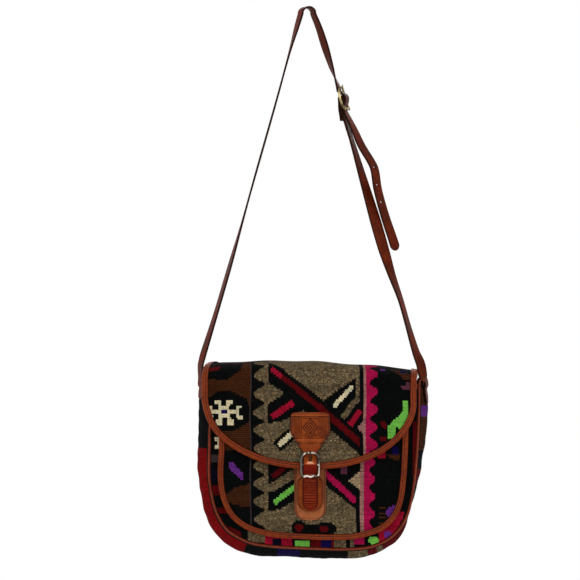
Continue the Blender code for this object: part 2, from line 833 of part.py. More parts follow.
def closure_holder(base, buckle):
    """Front leaf from its rounded lower end, round the buckle's bar, and a short back leaf."""
    across = Vector((1, 0, 0))
    pitch = PATCH + GAP
    path = []
    for t in steps(9)[:-1]:
        run = mix(HOLDER_REACH, HOLDER_LAND, t ** 1.5)
        width = rounded_width(HOLDER_WIDTH, run, HOLDER_REACH, HOLDER_WIDTH * HOLDER_ROUND)
        path.append((buckle.leaf(run), -run, width))
    for share in (1.0, 0.75, 0.5, 0.25):
        run = mix(BUCKLE_BOTTOM, HOLDER_LAND, share)
        width = mix(buckle.waist, HOLDER_WIDTH, ease((run - BUCKLE_BOTTOM) / BUCKLE_TAPER))
        path.append((buckle.leaf(run), -run, width))
    front, turn, back = buckle.chape_stations()
    path += [(y, z, buckle.waist) for y, z in front + turn + back]
    for share in (0.25, 0.5, 0.75, 1.0):
        y, z = buckle.beside(mix(BUCKLE_BOTTOM, HOLDER_LAND, share), -pitch)
        path.append((y, z, buckle.waist))
    path.append((*buckle.beside(HOLDER_FOLD - 0.001, -pitch), buckle.waist))
    stations = [(Vector((0, y, z)), across, width, PATCH) for y, z, width in path]
    holder = solid("buckle_holder", ribbon(stations), base, PATCH_FINISH)
    chape_slot(holder, "closure_slot", buckle, base)


def tab_width(run):
    """Width of the tab at run below its top edge: plate, shoulders, neck, strap."""
    if run < TAB_CORNER:
        left = TAB_CORNER - run
        return 2 * (TAB_HALF_WIDTH - TAB_CORNER + math.sqrt(TAB_CORNER ** 2 - left ** 2))
    if run < TAB_SHOULDER:
        return 2 * TAB_HALF_WIDTH
    share = min((run - TAB_SHOULDER) / (TAB_NECK - TAB_SHOULDER), 1.0)
    return mix(2 * TAB_HALF_WIDTH, CLOSURE_STRAP_WIDTH, share)


def closure_tab(base, bar_y, flap_face, buckle):
    """Plate on the flap that narrows to a strap, runs through the buckle and ends in ribs."""
    across = Vector((1, 0, 0))
    top = CLOSURE_DROP - TAB_TOP
    path = []
    last_plate = top - BUCKLE_TOP - TAB_LIFT
    corner = [TAB_CORNER * share for share in (0.0, 0.24, 0.6, 1.0)]
    for run in corner + [TAB_SHOULDER / 2, TAB_SHOULDER, last_plate]:
        z = top - run
        y = flap_face - closure_dome(z) - GAP - STRAP / 2 - bar_y
        path.append((y, z, tab_width(run), STRAP))
    path += [(y, z, buckle.waist, STRAP) for y, z in buckle.strap_stations()]

    rib_end = CLOSURE_STRAP_REACH - RIB_MARGIN
    runs = [(mix(BUCKLE_BOTTOM, rib_end - RIBS * RIB_PITCH, 0.5), 0.0)]
    for k in range(RIBS):
        start = rib_end - (RIBS - k) * RIB_PITCH
        runs += [(start, 0.0), (start + RIB_PITCH * 0.3, RIB_HEIGHT), (start + RIB_PITCH * 0.7, RIB_HEIGHT)]
    runs += [(rib_end, 0.0), (mix(rib_end, CLOSURE_STRAP_REACH, 0.6), 0.0), (CLOSURE_STRAP_REACH, 0.0)]
    for run, height in runs:
        full = mix(buckle.waist, CLOSURE_STRAP_WIDTH, ease((run - BUCKLE_BOTTOM) / BUCKLE_TAPER))
        width = rounded_width(full, run, CLOSURE_STRAP_REACH, CLOSURE_STRAP_WIDTH * END_ROUND)
        path.append((*buckle.beside(run, buckle.apart + height / 2), width, STRAP + height))
    stations = [(Vector((0, y, z)), across, width, thickness) for y, z, width, thickness in path]
    tab = solid("flap_tab", ribbon(stations), base, TAB_FINISH)
    prong_hole(tab, "tab_hole", buckle, base)


def strap_frame():
    """The strap buckle's frame in the world: its -y faces the strap's outer side."""
    turn = Matrix.Rotation(STRAP_BUCKLE_LEAN, 4, "Y") @ Matrix.Rotation(STRAP_BUCKLE_TURN, 4, "Z")
    return Matrix.Translation((STRAP_BUCKLE_X, 0, -STRAP_BUCKLE_DROP)) @ turn


def strand(x, drop, twist, depth=0.0):
    """A station of the shoulder strap: place, and a width direction turned from the depth axis."""
    angle = math.radians(twist)
    return Vector((x, depth, -drop)), Vector((math.sin(angle), -math.cos(angle), 0))


def gusset_face(side, y, z):
    """Outer face of the gusset's straight side, in the bag's frame."""
    swell = side_bulge(side, -z) * (1 - (y / (BODY_DEPTH / 2)) ** 2)
    return Vector((BODY_X + side * (BODY_HALF_WIDTH + swell + KILIM / 2), y, z))


def sewn_end(side, bag_matrix):
    """Stations of the strap's sewn end, from its tip up past the mouth binding."""
    y = STRAP_END_SHIFT
    slope = 2 * side_bulge(side, MOUTH_DROP) * y / (BODY_DEPTH / 2) ** 2
    across = Vector((side * slope, -1, 0)).normalized()
    out = Vector((side, 0, 0))
    top = MOUTH_DROP + LEAF_MOUTH + SEWN_CLEAR
    low = top + STRAP_SEWN
    step_out = BINDING + GAP + SEWN_PLAY
    runs = [(low - STRAP_WIDTH * share, 0.0) for share in (0.0, 0.1, 0.27, 0.53)]
    runs += [(mix(low, top, 0.6), 0.0), (mix(low, top, 0.86), 0.0), (top - SEWN_CLEAR, step_out),
             (MOUTH_DROP, step_out), (MOUTH_DROP - LEAF_MOUTH, step_out)]
    found = []
    for down, extra in runs:
        point = gusset_face(side, y, -down) + out * (GAP + STRAP / 2 + extra + SEWN_PLAY)
        width = rounded_width(STRAP_WIDTH, down, low, STRAP_WIDTH * END_ROUND)
        found.append((bag_matrix @ point, (bag_matrix.to_3x3() @ across), width, STRAP))
    return found


def in_frame(matrix, places):
    """Stations of a strap in a buckle's frame, from (y, z, width)."""
    across = matrix.to_3x3() @ Vector((-1, 0, 0))
    return [(matrix @ Vector((0, y, z)), across, width, STRAP) for y, z, width in places]


def full(stations):
    return [(point, across, STRAP_WIDTH, STRAP) for point, across in stations]


def long_strap_route(frame, buckle, sewn):
    """From the left side up, over the peg, down through the buckle, and the free tail."""
    rising = [strand(-0.1303, 0.4385, 25, -0.0145), strand(-0.1287, 0.4311, 27, -0.013),
              strand(-0.1257, 0.4200, 28, -0.011), strand(-0.1113, 0.3733, 19, -0.007),
              strand(-0.0941, 0.3143, 16, -0.006),
              strand(-0.0815, 0.2700, 5, -0.004), strand(-0.0652, 0.2109, 0, -0.002),
              strand(-0.0394, 0.1199, 0), strand(-0.0220, 0.0560, 4), strand(-0.0129, 0.0240, 20)]
    bend = []
    radius = PEG_RADIUS + STRAP / 2
    for angle in (185, 150, 110, 70, 30, -5):
        a = math.radians(angle)
        bend.append(strand(radius * math.cos(a), PEG_RADIUS - radius * math.sin(a), 24))
    falling = [strand(0.0148, 0.0240, 28), strand(0.0225, 0.0480, 32), strand(0.0306, 0.0740, 15)]
    through = [(y, z, buckle.waist) for y, z in buckle.strap_stations()]
    tail = [strand(0.0576, 0.1478, -30), strand(0.0668, 0.1684, -40), strand(0.0791, 0.1888, -42),
            strand(0.0836, 0.2002, -43), strand(0.0871, 0.2230, -43), strand(0.0951, 0.2526, -46),
            strand(0.1042, 0.2800, -50), strand(0.1076, 0.2905, -52)]
    first = sewn[:-1] + smooth_path(sewn[-1:] + full(rising + bend + falling), 2)
    middle = in_frame(frame, through)
    past = [buckle.beside(BUCKLE_BOTTOM, buckle.apart + GAP / 2),
            buckle.beside(BUCKLE_BOTTOM + 0.0035, buckle.apart + 1.5 * GAP)]
    after = in_frame(frame, [(y, z, buckle.waist) for y, z in past]) + full(tail)
    last = smooth_path(after, 2)[1:]
    return first + middle + last


def short_strap_route(frame, buckle, sewn):
    """From the right side up to the buckle's bar, round it, and its end folded back."""
    climbing = [strand(0.1429, 0.4459, -20, -0.0155), strand(0.1389, 0.4340, -29, -0.0135),
                strand(0.1334, 0.4190, -30, -0.011), strand(0.1236, 0.3880, -22, -0.007),
                strand(0.1150, 0.3585, -25, -0.006), strand(0.1045, 0.3290, -38, -0.005),
                strand(0.0950, 0.2990, -62, -0.004), strand(0.0866, 0.2700, -68, -0.003),
                strand(0.0781, 0.2405, -55, -0.002), strand(0.0694, 0.2109, -40, -0.001),
                strand(0.0608, 0.1814, -27), strand(0.0541, 0.1590, -19)]
    front, turn, back = buckle.chape_stations()
    low = BUCKLE_BOTTOM + 0.005
    leaf = [(buckle.leaf(low), -low)]
    fold = [buckle.beside(run, -STRAP - GAP) for run in (low, CHAPE_FOLD)]
    chape = in_frame(frame, [(y, z, buckle.waist) for y, z in leaf + front + turn + back + fold])
    return sewn[:-1] + smooth_path(sewn[-1:] + full(climbing), 2)[:-1] + chape


def shoulder_strap(bag_matrix):
    """Long and short strap with the brass buckle that joins them."""
    buckle = Buckle(STRAP_WIDTH, STRAP, STRAP)
    frame = strap_frame()
    base = empty("strap_buckle_place", None, frame.to_translation(), frame.to_euler())
    buckle_frame("strap_buckle", buckle, base, BRASS_FINISH)
    buckle_prong("strap_prong", buckle, base, BRASS_FINISH)

    route = long_strap_route(frame, buckle, sewn_end(-1, bag_matrix))
    point, across, _, _ = route[-1]
    along = (point - route[-2][0]).normalized()
    for share in (0.35, 0.7, 1.0):
        run = share * STRAP_WIDTH / 2
        width = rounded_width(STRAP_WIDTH, run, STRAP_WIDTH / 2, STRAP_WIDTH / 2)
        route.append((point + along * run, across, width, STRAP))
    long_strap = solid("strap_long", ribbon(route), None, STRAP_FINISH)
    prong_hole(long_strap, "strap_hole", buckle, base)
    tail_holes(long_strap, route)
    short_route = short_strap_route(frame, buckle, sewn_end(1, bag_matrix))
    short_strap = solid("strap_short", ribbon(short_route), None, STRAP_FINISH)
    chape_slot(short_strap, "strap_slot", buckle, base)


def tail_holes(strap, route):
    """Spare adjusting holes, spaced up the tail from near its tip."""
    spots = route[::-1]
    run = 0.0
    made = 0
    for here, there in zip(spots[3:], spots[4:]):
        step = there[0] - here[0]
        while made < HOLES_BELOW and run + step.length >= HOLE_FIRST + made * HOLE_PITCH:
            place = here[0] + step.normalized() * (HOLE_FIRST + made * HOLE_PITCH - run)
            out = step.cross(here[1]).normalized()
            turn = out.to_track_quat("Z", "X").to_matrix().to_4x4()
            mesh = bmesh.new()
            bmesh.ops.create_cone(mesh, cap_ends=True, segments=10, radius1=HOLE_RADIUS,
                                  radius2=HOLE_RADIUS, depth=4 * STRAP,
                                  matrix=Matrix.Translation(place) @ turn)
            made += 1
            boolean(strap, cutter("tail_hole_%d" % made, mesh, None), "DIFFERENCE")
        run += step.length


def build():
    clear_scene()
    bag = empty("bag", None, (BAG_X, 0, -BAG_DROP), (0, BAG_LEAN, 0))
    bag_matrix = Matrix.Translation((BAG_X, 0, -BAG_DROP)) @ Matrix.Rotation(BAG_LEAN, 4, "Y")
    lining_in = KILIM / 2 + GAP + CLOTH / 2

    front_sheet(bag, "front_panel", KILIM_FINISH, MOUTH_DROP, 0.0, KILIM)
    front_sheet(bag, "lining_front", LINING_FINISH, MOUTH_DROP, -lining_in, CLOTH)
    half_depth = BODY_DEPTH / 2 - SEAM_CLEAR
    gusset_sheet(bag, "gusset", KILIM_FINISH, half_depth, 0.0, MOUTH_DROP, KILIM)
    inner_depth = BODY_DEPTH / 2 - lining_in - CLOTH / 2 - GAP
    gusset_sheet(bag, "lining_gusset", LINING_FINISH, inner_depth, -lining_in, MOUTH_DROP, CLOTH)
    folded_sheet(bag, "back_and_flap", KILIM_FINISH, 0.0, 0.0, KILIM, 14)
    folded_sheet(bag, "lining_back_and_flap", LINING_FINISH, lining_in, GAP, CLOTH, 14)
    pocket_sheet(bag)
    piping(bag, "front_piping", FRONT_Y)
    piping(bag, "back_piping", BACK_Y)
    flap_binding(bag)
    pocket_bindings(bag)
    mouth_bindings(bag)
    closure_parts(bag)
    shoulder_strap(bag_matrix)


build()
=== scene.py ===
"""Looks of the kilim messenger bag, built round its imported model.

Metres, +Z up, the front faces -Y. The soft pieces are made in the bag's own frame, from the sizes
that the model has. The kilim is woven: each cell of its sheets is one crossing of the yarns, with
the colour of the yarn that shows there. The leather and the metal get their own finishes.
"""

import math
from typing import NamedTuple

import bmesh
import bpy
import numpy as np
from mathutils import Matrix, Vector, noise


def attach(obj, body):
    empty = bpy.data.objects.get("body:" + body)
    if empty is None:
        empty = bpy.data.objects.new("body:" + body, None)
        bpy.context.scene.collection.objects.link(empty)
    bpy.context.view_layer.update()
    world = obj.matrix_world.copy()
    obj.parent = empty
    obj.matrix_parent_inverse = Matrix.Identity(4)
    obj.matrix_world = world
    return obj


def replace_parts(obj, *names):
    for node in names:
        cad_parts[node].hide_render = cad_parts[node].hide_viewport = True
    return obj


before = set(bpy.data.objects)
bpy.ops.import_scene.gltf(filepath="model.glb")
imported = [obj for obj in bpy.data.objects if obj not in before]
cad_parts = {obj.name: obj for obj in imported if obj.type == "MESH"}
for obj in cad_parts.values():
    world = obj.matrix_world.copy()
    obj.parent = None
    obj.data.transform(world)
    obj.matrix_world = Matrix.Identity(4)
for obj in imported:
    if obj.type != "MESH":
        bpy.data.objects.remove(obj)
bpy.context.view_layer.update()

SEED = 11

# The eye's place across and up, level with the middle of the picture
VIEW_X = -0.0209
VIEW_Z = -0.3462

# Clearances and thicknesses, as in the model
GAP = 0.0003
BINDING_PLAY = 0.0006
KILIM = 0.003
CLOTH = 0.001
BINDING = 0.0013
PATCH = 0.0018
STRAP = 0.0024

# The bag's frame, and its body
BAG_X = 0.0068
BAG_DROP = 0.4385
BAG_LEAN = math.radians(2.1)
BODY_X = 0.0042
BODY_HALF_WIDTH = 0.1267
BODY_STRAIGHT = 0.0565
BODY_CORNER = 0.1664
BODY_POWER = 4.1
BODY_DEPTH = 0.062
FRONT_DOME = 0.008
MOUTH_DROP = 0.0175
PIPING_RADIUS = 0.00175
BULGES = ((0.0, 0.0114), (0.05, 0.0142), (0.12, 0.0137), (0.22, 0.0130), (0.36, 0.0150), (0.46, 0.0125),
          (0.60, 0.0122), (0.67, 0.0090), (0.735, 0.0016), (0.79, 0.0030), (0.83, 0.0068), (0.88, 0.0100),
          (0.94, 0.0106), (1.0, 0.0060))

# Flap and flat pocket
FOLD_HEIGHT = 0.014
FOLD_POWER = 2.6
FLAP_X = -0.0033
FLAP_HALF_WIDTH = BODY_HALF_WIDTH + 0.0023
FLAP_STRAIGHT = 0.0385
FLAP_CURVE = 0.085
FLAP_POWER = 2.12
POCKET_X = 0.0043
POCKET_HALF_WIDTH = 0.1132
POCKET_TOP = 0.045
POCKET_STRAIGHT = 0.108
POCKET_CORNER = 0.1017
POCKET_POWER = 3.4
LEAF_FLAP = 0.0062
LEAF_POCKET = 0.0055
LEAF_MOUTH = 0.0055

# Closure
CLOSURE_X = 0.0012
CLOSURE_DROP = 0.1195
TAB_TOP = 0.0562
TAB_HALF_WIDTH = 0.0240
TAB_SHOULDER = 0.0245
TAB_NECK = 0.0488
CLOSURE_STRAP_WIDTH = 0.0185
CLOSURE_STRAP_REACH = 0.0555
RIBS = 12
RIB_PITCH = 0.003
RIB_HEIGHT = 0.0006
HOLDER_WIDTH = 0.031
HOLDER_REACH = 0.0575
HOLDER_FOLD = 0.038
HOLDER_LAND = 0.0295
PATCH_WIDTH = 0.039
PATCH_RISE = 0.012
PATCH_REACH = 0.0685

# Buckles
WIRE = 0.0015
BUCKLE_TOP = 0.0145
BUCKLE_SHOULDER = 0.0045
BUCKLE_BOTTOM = 0.0135
BUCKLE_BOW = 0.0042
BUCKLE_WAIST = 0.92
PRONG_WIDTH = 0.0026
SLEEVE_WALL = 0.0011
SLOT_PLAY = 0.0006
PRONG_HOLE_LENGTH = 0.0095

# Shoulder strap
STRAP_WIDTH = 0.015
STRAP_END_SHIFT = -0.0165
STRAP_SEWN = 0.021
PEG_RADIUS = 0.007
STRAP_BUCKLE_X = 0.0436
STRAP_BUCKLE_DROP = 0.1108
STRAP_BUCKLE_LEAN = math.radians(-9.0)
STRAP_BUCKLE_TURN = math.radians(70)
CHAPE_FOLD = 0.027
HOLE_RADIUS = 0.0018
HOLE_FIRST = 0.055
HOLE_PITCH = 0.022
HOLES_BELOW = 3

# What follows from these
HALF_DEPTH = BODY_DEPTH / 2
FRONT_Y = -HALF_DEPTH
BACK_Y = HALF_DEPTH
SEAM_CLEAR = PIPING_RADIUS + GAP
PANEL_HALF_WIDTH = BODY_HALF_WIDTH - SEAM_CLEAR
PANEL_CORNER = BODY_CORNER - SEAM_CLEAR
LINED = KILIM + GAP + CLOTH
LINED_MIDDLE = (GAP + CLOTH) / 2
POCKET_Y = KILIM / 2 + GAP + BINDING + BINDING_PLAY + KILIM / 2
PATCH_Y = POCKET_Y + KILIM / 2 + GAP + PATCH
FLAP_Y = PATCH_Y + GAP + BINDING + BINDING_PLAY + CLOTH + GAP + KILIM / 2
BAG = Matrix.Translation((BAG_X, 0, -BAG_DROP)) @ Matrix.Rotation(BAG_LEAN, 4, "Y")
FRONT_WAY = Vector((0, -1, 0))
DEPTH_WAY = Vector((0, 1, 0))

# Weave: width and height of one cell
CELL_WIDTH = 0.0016
CELL_HEIGHT = 0.00118


# Curves and forms of the model

def steps(count):
    return [i / count for i in range(count + 1)]


def mix(a, b, t):
    return a + (b - a) * t


def ease(t):
    t = np.clip(t, 0.0, 1.0)
    return t * t * (3 - 2 * t)


def ramp(value, start, end):
    """From 0 at start to 1 at end, with soft ends."""
    return ease((value - start) / (end - start))


def crowded(t):
    """From -1 to 1 for t from 0 to 1, slower near the ends."""
    return math.sin(math.pi / 2 * (2 * t - 1))


def rounded_end(xi, straight, corner, power):
    return straight + corner * max(1 - abs(xi) ** power, 0.0) ** (1 / power)


def outline_path(top, straight, corner, power, side_steps, bottom_steps):
    """(xi, down) from an outline's left top, round its bottom, to its right top."""
    down = [mix(top, straight, t) for t in steps(side_steps)[:-1]]
    low = [(xi, rounded_end(xi, straight, corner, power)) for xi in map(crowded, steps(bottom_steps))]
    return [(-1, d) for d in down] + low + [(1, d) for d in reversed(down)]


def dome(x, z):
    """How far the soft front stands out, for numbers or arrays."""
    xi = np.minimum(abs(x - BODY_X) / BODY_HALF_WIDTH, 1.0)
    zeta = np.clip((-z - BODY_STRAIGHT) / BODY_CORNER, 0.0, 1.0)
    reach = (xi ** BODY_POWER + zeta ** BODY_POWER) ** (2 / BODY_POWER)
    return FRONT_DOME * (1 - np.minimum(reach, 1.0))


def bulge_at(share):
    """The gusset's bulge at a share of the seam's length from the left top."""
    for (s0, b0), (s1, b1) in zip(BULGES, BULGES[1:]):
        if share <= s1:
            return float(mix(b0, b1, ramp(share, s0, s1)))
    return BULGES[-1][1]


def crown(y):
    """How much of the gusset's bulge is left at a depth."""
    return 1 - (y / HALF_DEPTH) ** 2


def tangents(points):
    last = len(points) - 1
    return [(points[min(i + 1, last)] - points[max(i - 1, 0)]).normalized() for i in range(last + 1)]


def run_along(points):
    run = [0.0]
    for a, b in zip(points, points[1:]):
        run.append(run[-1] + (b - a).length)
    return run


def at_run(rows, run, wanted):
    """Rows of numbers and vectors at wanted distances along them."""
    table = np.array([np.hstack(row) for row in rows])
    return np.stack([np.interp(wanted, run, column) for column in table.T], axis=-1)


def resample(points, pitch):
    """Places at an even distance along a line of points."""
    run = run_along(points)
    count = max(int(round(run[-1] / pitch)), 2)
    return [Vector(v) for v in at_run(points, run, np.linspace(0, run[-1], count + 1))]


def smooth_path(stations, per_span):
    """Catmull-Rom values through stations, each a tuple of vectors or numbers."""
    found = []
    last = len(stations) - 1
    for k in range(last):
        around = [stations[min(max(i, 0), last)] for i in range(k - 1, k + 3)]
        for n in range(per_span):
            t = n / per_span
            found.append(tuple(b + (c - a) * (t / 2) + (a * 2 - b * 5 + c * 4 - d) * (t * t / 2)
                               + (b * 3 - a - c * 3 + d) * (t ** 3 / 2) for a, b, c, d in zip(*around)))
    found.append(stations[last])
    return found


SEAM = [Vector((BODY_X + BODY_HALF_WIDTH * xi, 0, -down))
        for xi, down in outline_path(MOUTH_DROP, BODY_STRAIGHT, BODY_CORNER, BODY_POWER, 8, 160)]


def arch(theta, x):
    """The fold's middle surface and its way out, theta from 0 at the back to pi at the flap."""
    front = FRONT_Y - FLAP_Y - dome(x, -FOLD_HEIGHT)
    centre = (BACK_Y + front) / 2
    half = (BACK_Y - front) / 2

    def spot(angle):
        c = np.cos(angle)
        s = np.maximum(np.sin(angle), 0.0)
        y = centre + np.copysign(np.abs(c) ** (2 / FOLD_POWER), c) * half
        return y, -FOLD_HEIGHT + FOLD_HEIGHT * s ** (2 / FOLD_POWER)

    small = 0.01
    y, z = spot(theta)
    y1, z1 = spot(np.minimum(theta + small, math.pi))
    y0, z0 = spot(np.maximum(theta - small, 0.0))
    size = np.hypot(y1 - y0, z1 - z0)
    out = np.stack([np.zeros_like(y), (z1 - z0) / size, -(y1 - y0) / size], axis=-1)
    return np.stack([x, y, z], axis=-1), out


# Length along the fold against its angle, from the flap's foot
FOLD_ANGLES = np.linspace(math.pi, 0, 400)
FOLD_STEPS = np.diff(arch(FOLD_ANGLES, np.zeros(400))[0], axis=0)
FOLD_LENGTHS = np.concatenate([[0.0], np.cumsum(np.linalg.norm(FOLD_STEPS, axis=1))])
FOLD_LENGTH = float(FOLD_LENGTHS[-1])
FOLD_BACK = FOLD_HEIGHT - FOLD_LENGTH


def folded(x, s):
    """Flap, fold and back as one sheet. s runs down the flap, and is negative behind the top."""
    flap = np.stack([x, FRONT_Y - FLAP_Y - dome(x, -s), -s], axis=-1)
    back = np.stack([x, np.full_like(x, BACK_Y), s - FOLD_BACK - FOLD_HEIGHT], axis=-1)
    over, out = arch(np.interp(FOLD_HEIGHT - s, FOLD_LENGTHS, FOLD_ANGLES), x)
    on_flap = (s >= FOLD_HEIGHT)[..., None]
    on_back = (s <= FOLD_BACK)[..., None]
    point = np.where(on_flap, flap, np.where(on_back, back, over))
    way = np.where(on_flap, np.array(FRONT_WAY), np.where(on_back, np.array(DEPTH_WAY), out))
    return point, way


def on_front(x, z, offset):
    return Vector((x, FRONT_Y - offset - float(dome(x, z)), z))


# Soft shape: the same gentle unevenness moves every soft piece of the bag

# Waves of the fold's crest: height, length and phase
CREST_WAVES = ((0.0006, 0.0105, 0.7), (0.0009, 0.0230, 1.9))
CREST_RISE = 0.0026
CREST_SAG = 0.0056
CREST_MIDDLE = 0.002
CREST_HALF = 0.118
CORNER_RISE = 0.0085

# What the closure holds still, and the size and reach of soft folds, creases and sideways waves
HELD_WIDTH = 0.034
HELD_HEIGHT = 0.062
SOFT_SIZE = 0.055
SOFT_MOVE = 0.0030
CREASE_SIZE = 0.021
CREASE_MOVE = 0.0010
LOW_CREASE_MOVE = 0.0012
WAVE_SIZE = 0.040
WAVE_MOVE = 0.0012

# Where it moves more: toward the top, at the right corner, at the sides of the bottom and in front
TOP_RAMP = (-0.062, -0.010)
CORNER_ACROSS = (0.1282, 0.1310)
CORNER_UP = (-0.072, -0.024)
LOW_RAMP = (0.13, 0.21)
SIDE_RAMP = (0.0, 0.12)
FRONT_RAMP = (0.0, 0.025)


def crest(x):
    """How much the top fold rises or sags across the bag."""
    wave = sum(height * np.sin(x / length + phase) for height, length, phase in CREST_WAVES)
    return CREST_RISE - CREST_SAG * (np.abs(x - CREST_MIDDLE) / CREST_HALF) ** 4 + wave


def lumps(points, size, seed):
    """Smooth noise from -1 to 1 at places, for arrays of points."""
    shift = Vector((seed * 3.1, seed * 1.7, seed * 0.9))
    return np.array([noise.noise(Vector(p) / size + shift) for p in points])


def drape(points):
    """Moves places in the bag's frame the way the soft bag does. The closure stays where it is."""
    points = np.asarray(points, float)
    x, y, z = points.T
    free = 1 - np.exp(-((x - CLOSURE_X) / HELD_WIDTH) ** 4 - ((z + CLOSURE_DROP) / HELD_HEIGHT) ** 4)
    soft = lumps(points * np.array([1.0, 0.35, 1.0]), SOFT_SIZE, SEED)
    creases = lumps(points * np.array([1.0, 0.3, 0.55]), CREASE_SIZE, SEED + 4)
    at_top = ramp(z, *TOP_RAMP)
    at_corner = ramp(x, *CORNER_ACROSS) * ramp(z, *CORNER_UP)
    low_down = ramp(-z, *LOW_RAMP) * ramp(np.abs(x - BODY_X), *SIDE_RAMP)
    in_front = ramp(-y, *FRONT_RAMP)
    moved = points.copy()
    moved[:, 0] += WAVE_MOVE * lumps(points, WAVE_SIZE, SEED + 9) * free
    moved[:, 1] += (SOFT_MOVE * soft + CREASE_MOVE * creases) * free * mix(0.6, 1.0, in_front)
    moved[:, 2] += crest(x) * at_top * free + CORNER_RISE * at_corner
    moved[:, 2] += LOW_CREASE_MOVE * creases * low_down
    return moved


def to_world(points):
    return np.asarray(points, float) @ np.array(BAG.to_3x3()).T + np.array(BAG.translation)


# Meshes

def put(name, data):
    made = bpy.data.objects.new(name, data)
    bpy.context.collection.objects.link(made)
    return made


def new_piece(name, vertices, faces, finish, bag=True, **notes):
    """A piece from places and faces. One in the bag's frame is draped too.

    Each note is a number for each place, which the finish reads by its name.
    """
    vertices = np.array([tuple(v) for v in vertices])
    if bag:
        vertices = to_world(drape(vertices))
    data = bpy.data.meshes.new(name)
    data.from_pydata(vertices.tolist(), [], faces)
    data.validate()
    data.materials.append(finish)
    data.polygons.foreach_set("use_smooth", [True] * len(data.polygons))
    for key, values in notes.items():
        layer = data.attributes.new(key, "FLOAT", "POINT")
        layer.data.foreach_set("value", np.asarray(values, np.float32))
    return put(name, data)


def swept(sections):
    """Vertices and faces of a closed form through sections of the same number of points."""
    count = len(sections[0])
    vertices = [point for section in sections for point in section]
    faces = []
    for base in range(0, len(vertices) - count, count):
        for k in range(base, base + count):
            n = base + (k + 1 - base) % count
            faces.append((k, n, n + count, k + count))
    faces.append(tuple(range(count))[::-1])
    faces.append(tuple(range(len(vertices) - count, len(vertices))))
    return vertices, faces


def facing_out(made):
    """Turns a closed piece's faces outward."""
    mesh = bmesh.new()
    mesh.from_mesh(made.data)
    bmesh.ops.recalc_face_normals(mesh, faces=mesh.faces)
    mesh.to_mesh(made.data)
    mesh.free()
    return made


def cut(target, cutters):
    """Takes cutters' forms out of a piece, and applies the result to its mesh."""
    for tool in cutters:
        step = target.modifiers.new(tool.name, "BOOLEAN")
        step.object = tool
        step.operation = "DIFFERENCE"
        step.solver = "EXACT"
    graph = bpy.context.evaluated_depsgraph_get()
    result = bpy.data.meshes.new_from_object(target.evaluated_get(graph))
    target.modifiers.clear()
    target.data = result
    for tool in cutters:
        bpy.data.objects.remove(tool, do_unlink=True)


def shaped(name, operator, **sizes):
    """An object whose mesh one bmesh operator makes."""
    mesh = bmesh.new()
    operator(mesh, **sizes)
    data = bpy.data.meshes.new(name)
    mesh.to_mesh(data)
    mesh.free()
    return put(name, data)


def box_tool(size, matrix):
    return shaped("tool", bmesh.ops.create_cube, size=1.0, matrix=matrix @ Matrix.Diagonal((*size, 1.0)))


# Yarns and the kilim's pattern

YARNS = {
    "black": (7, 8, 8),
    "ink": (9, 8, 26),
    "brown": (59, 30, 14),
    "dark_red": (82, 7, 11),
    "crimson": (118, 6, 10),
    "red": (148, 14, 40),
    "pink": (160, 14, 66),
    "greige": (93, 79, 57),
    "rose": (146, 100, 92),
    "sand": (150, 128, 98),
    "cream": (208, 196, 158),
    "green": (106, 178, 70),
    "purple": (92, 40, 118),
    "navy": (16, 8, 62),
    "mauve": (90, 46, 60),
    "line": (56, 44, 44),
}
YARN_NAMES = list(YARNS)
MOTTLE = {"greige": 0.42, "rose": 0.22, "sand": 0.22, "cream": 0.12, "black": 0.25}
PLAIN_MOTTLE = 0.12
BROWN_STRIPES = (1.34, 0.70)

# Vertical bands of the kilim, in millimetres right of the bag's middle
BROWN_EDGE = -70.6
LINE_EDGE = -69.0
STEM_LEFT = -53.2
STEM_RIGHT = -47.3
BLACK_LINE = (64.8, 69.0)
ROSE_LINE = (69.0, 72.4)
LOW_LINES = ((61.2, 65.4), (65.4, 71.2))
LOW_FROM = 114.0
LEAF_FIRST = 14.4
LEAF_PITCH = 22.05
LEAF_TIP = -66.0
LEAF_HALF = 9.2
TOOTH_FIRST = 12.6
TOOTH_PITCH = 21.4
TOOTH_TIP = 86.8
TOOTH_LOW_TIP = 83.4
TOOTH_VALLEY = 77.0
REPEAT = 236.0
TURN = 18.0
PICK = 2.4

# How much larger the kilim and the front panel are seen than a sheet in the plane of the peg
KILIM_NEARER = 1.0141
FRONT_NEARER = 1.009


def linear(colour):
    value = np.array(colour, float) / 255
    return np.where(value <= 0.04045, value / 12.92, ((value + 0.055) / 1.055) ** 2.4)


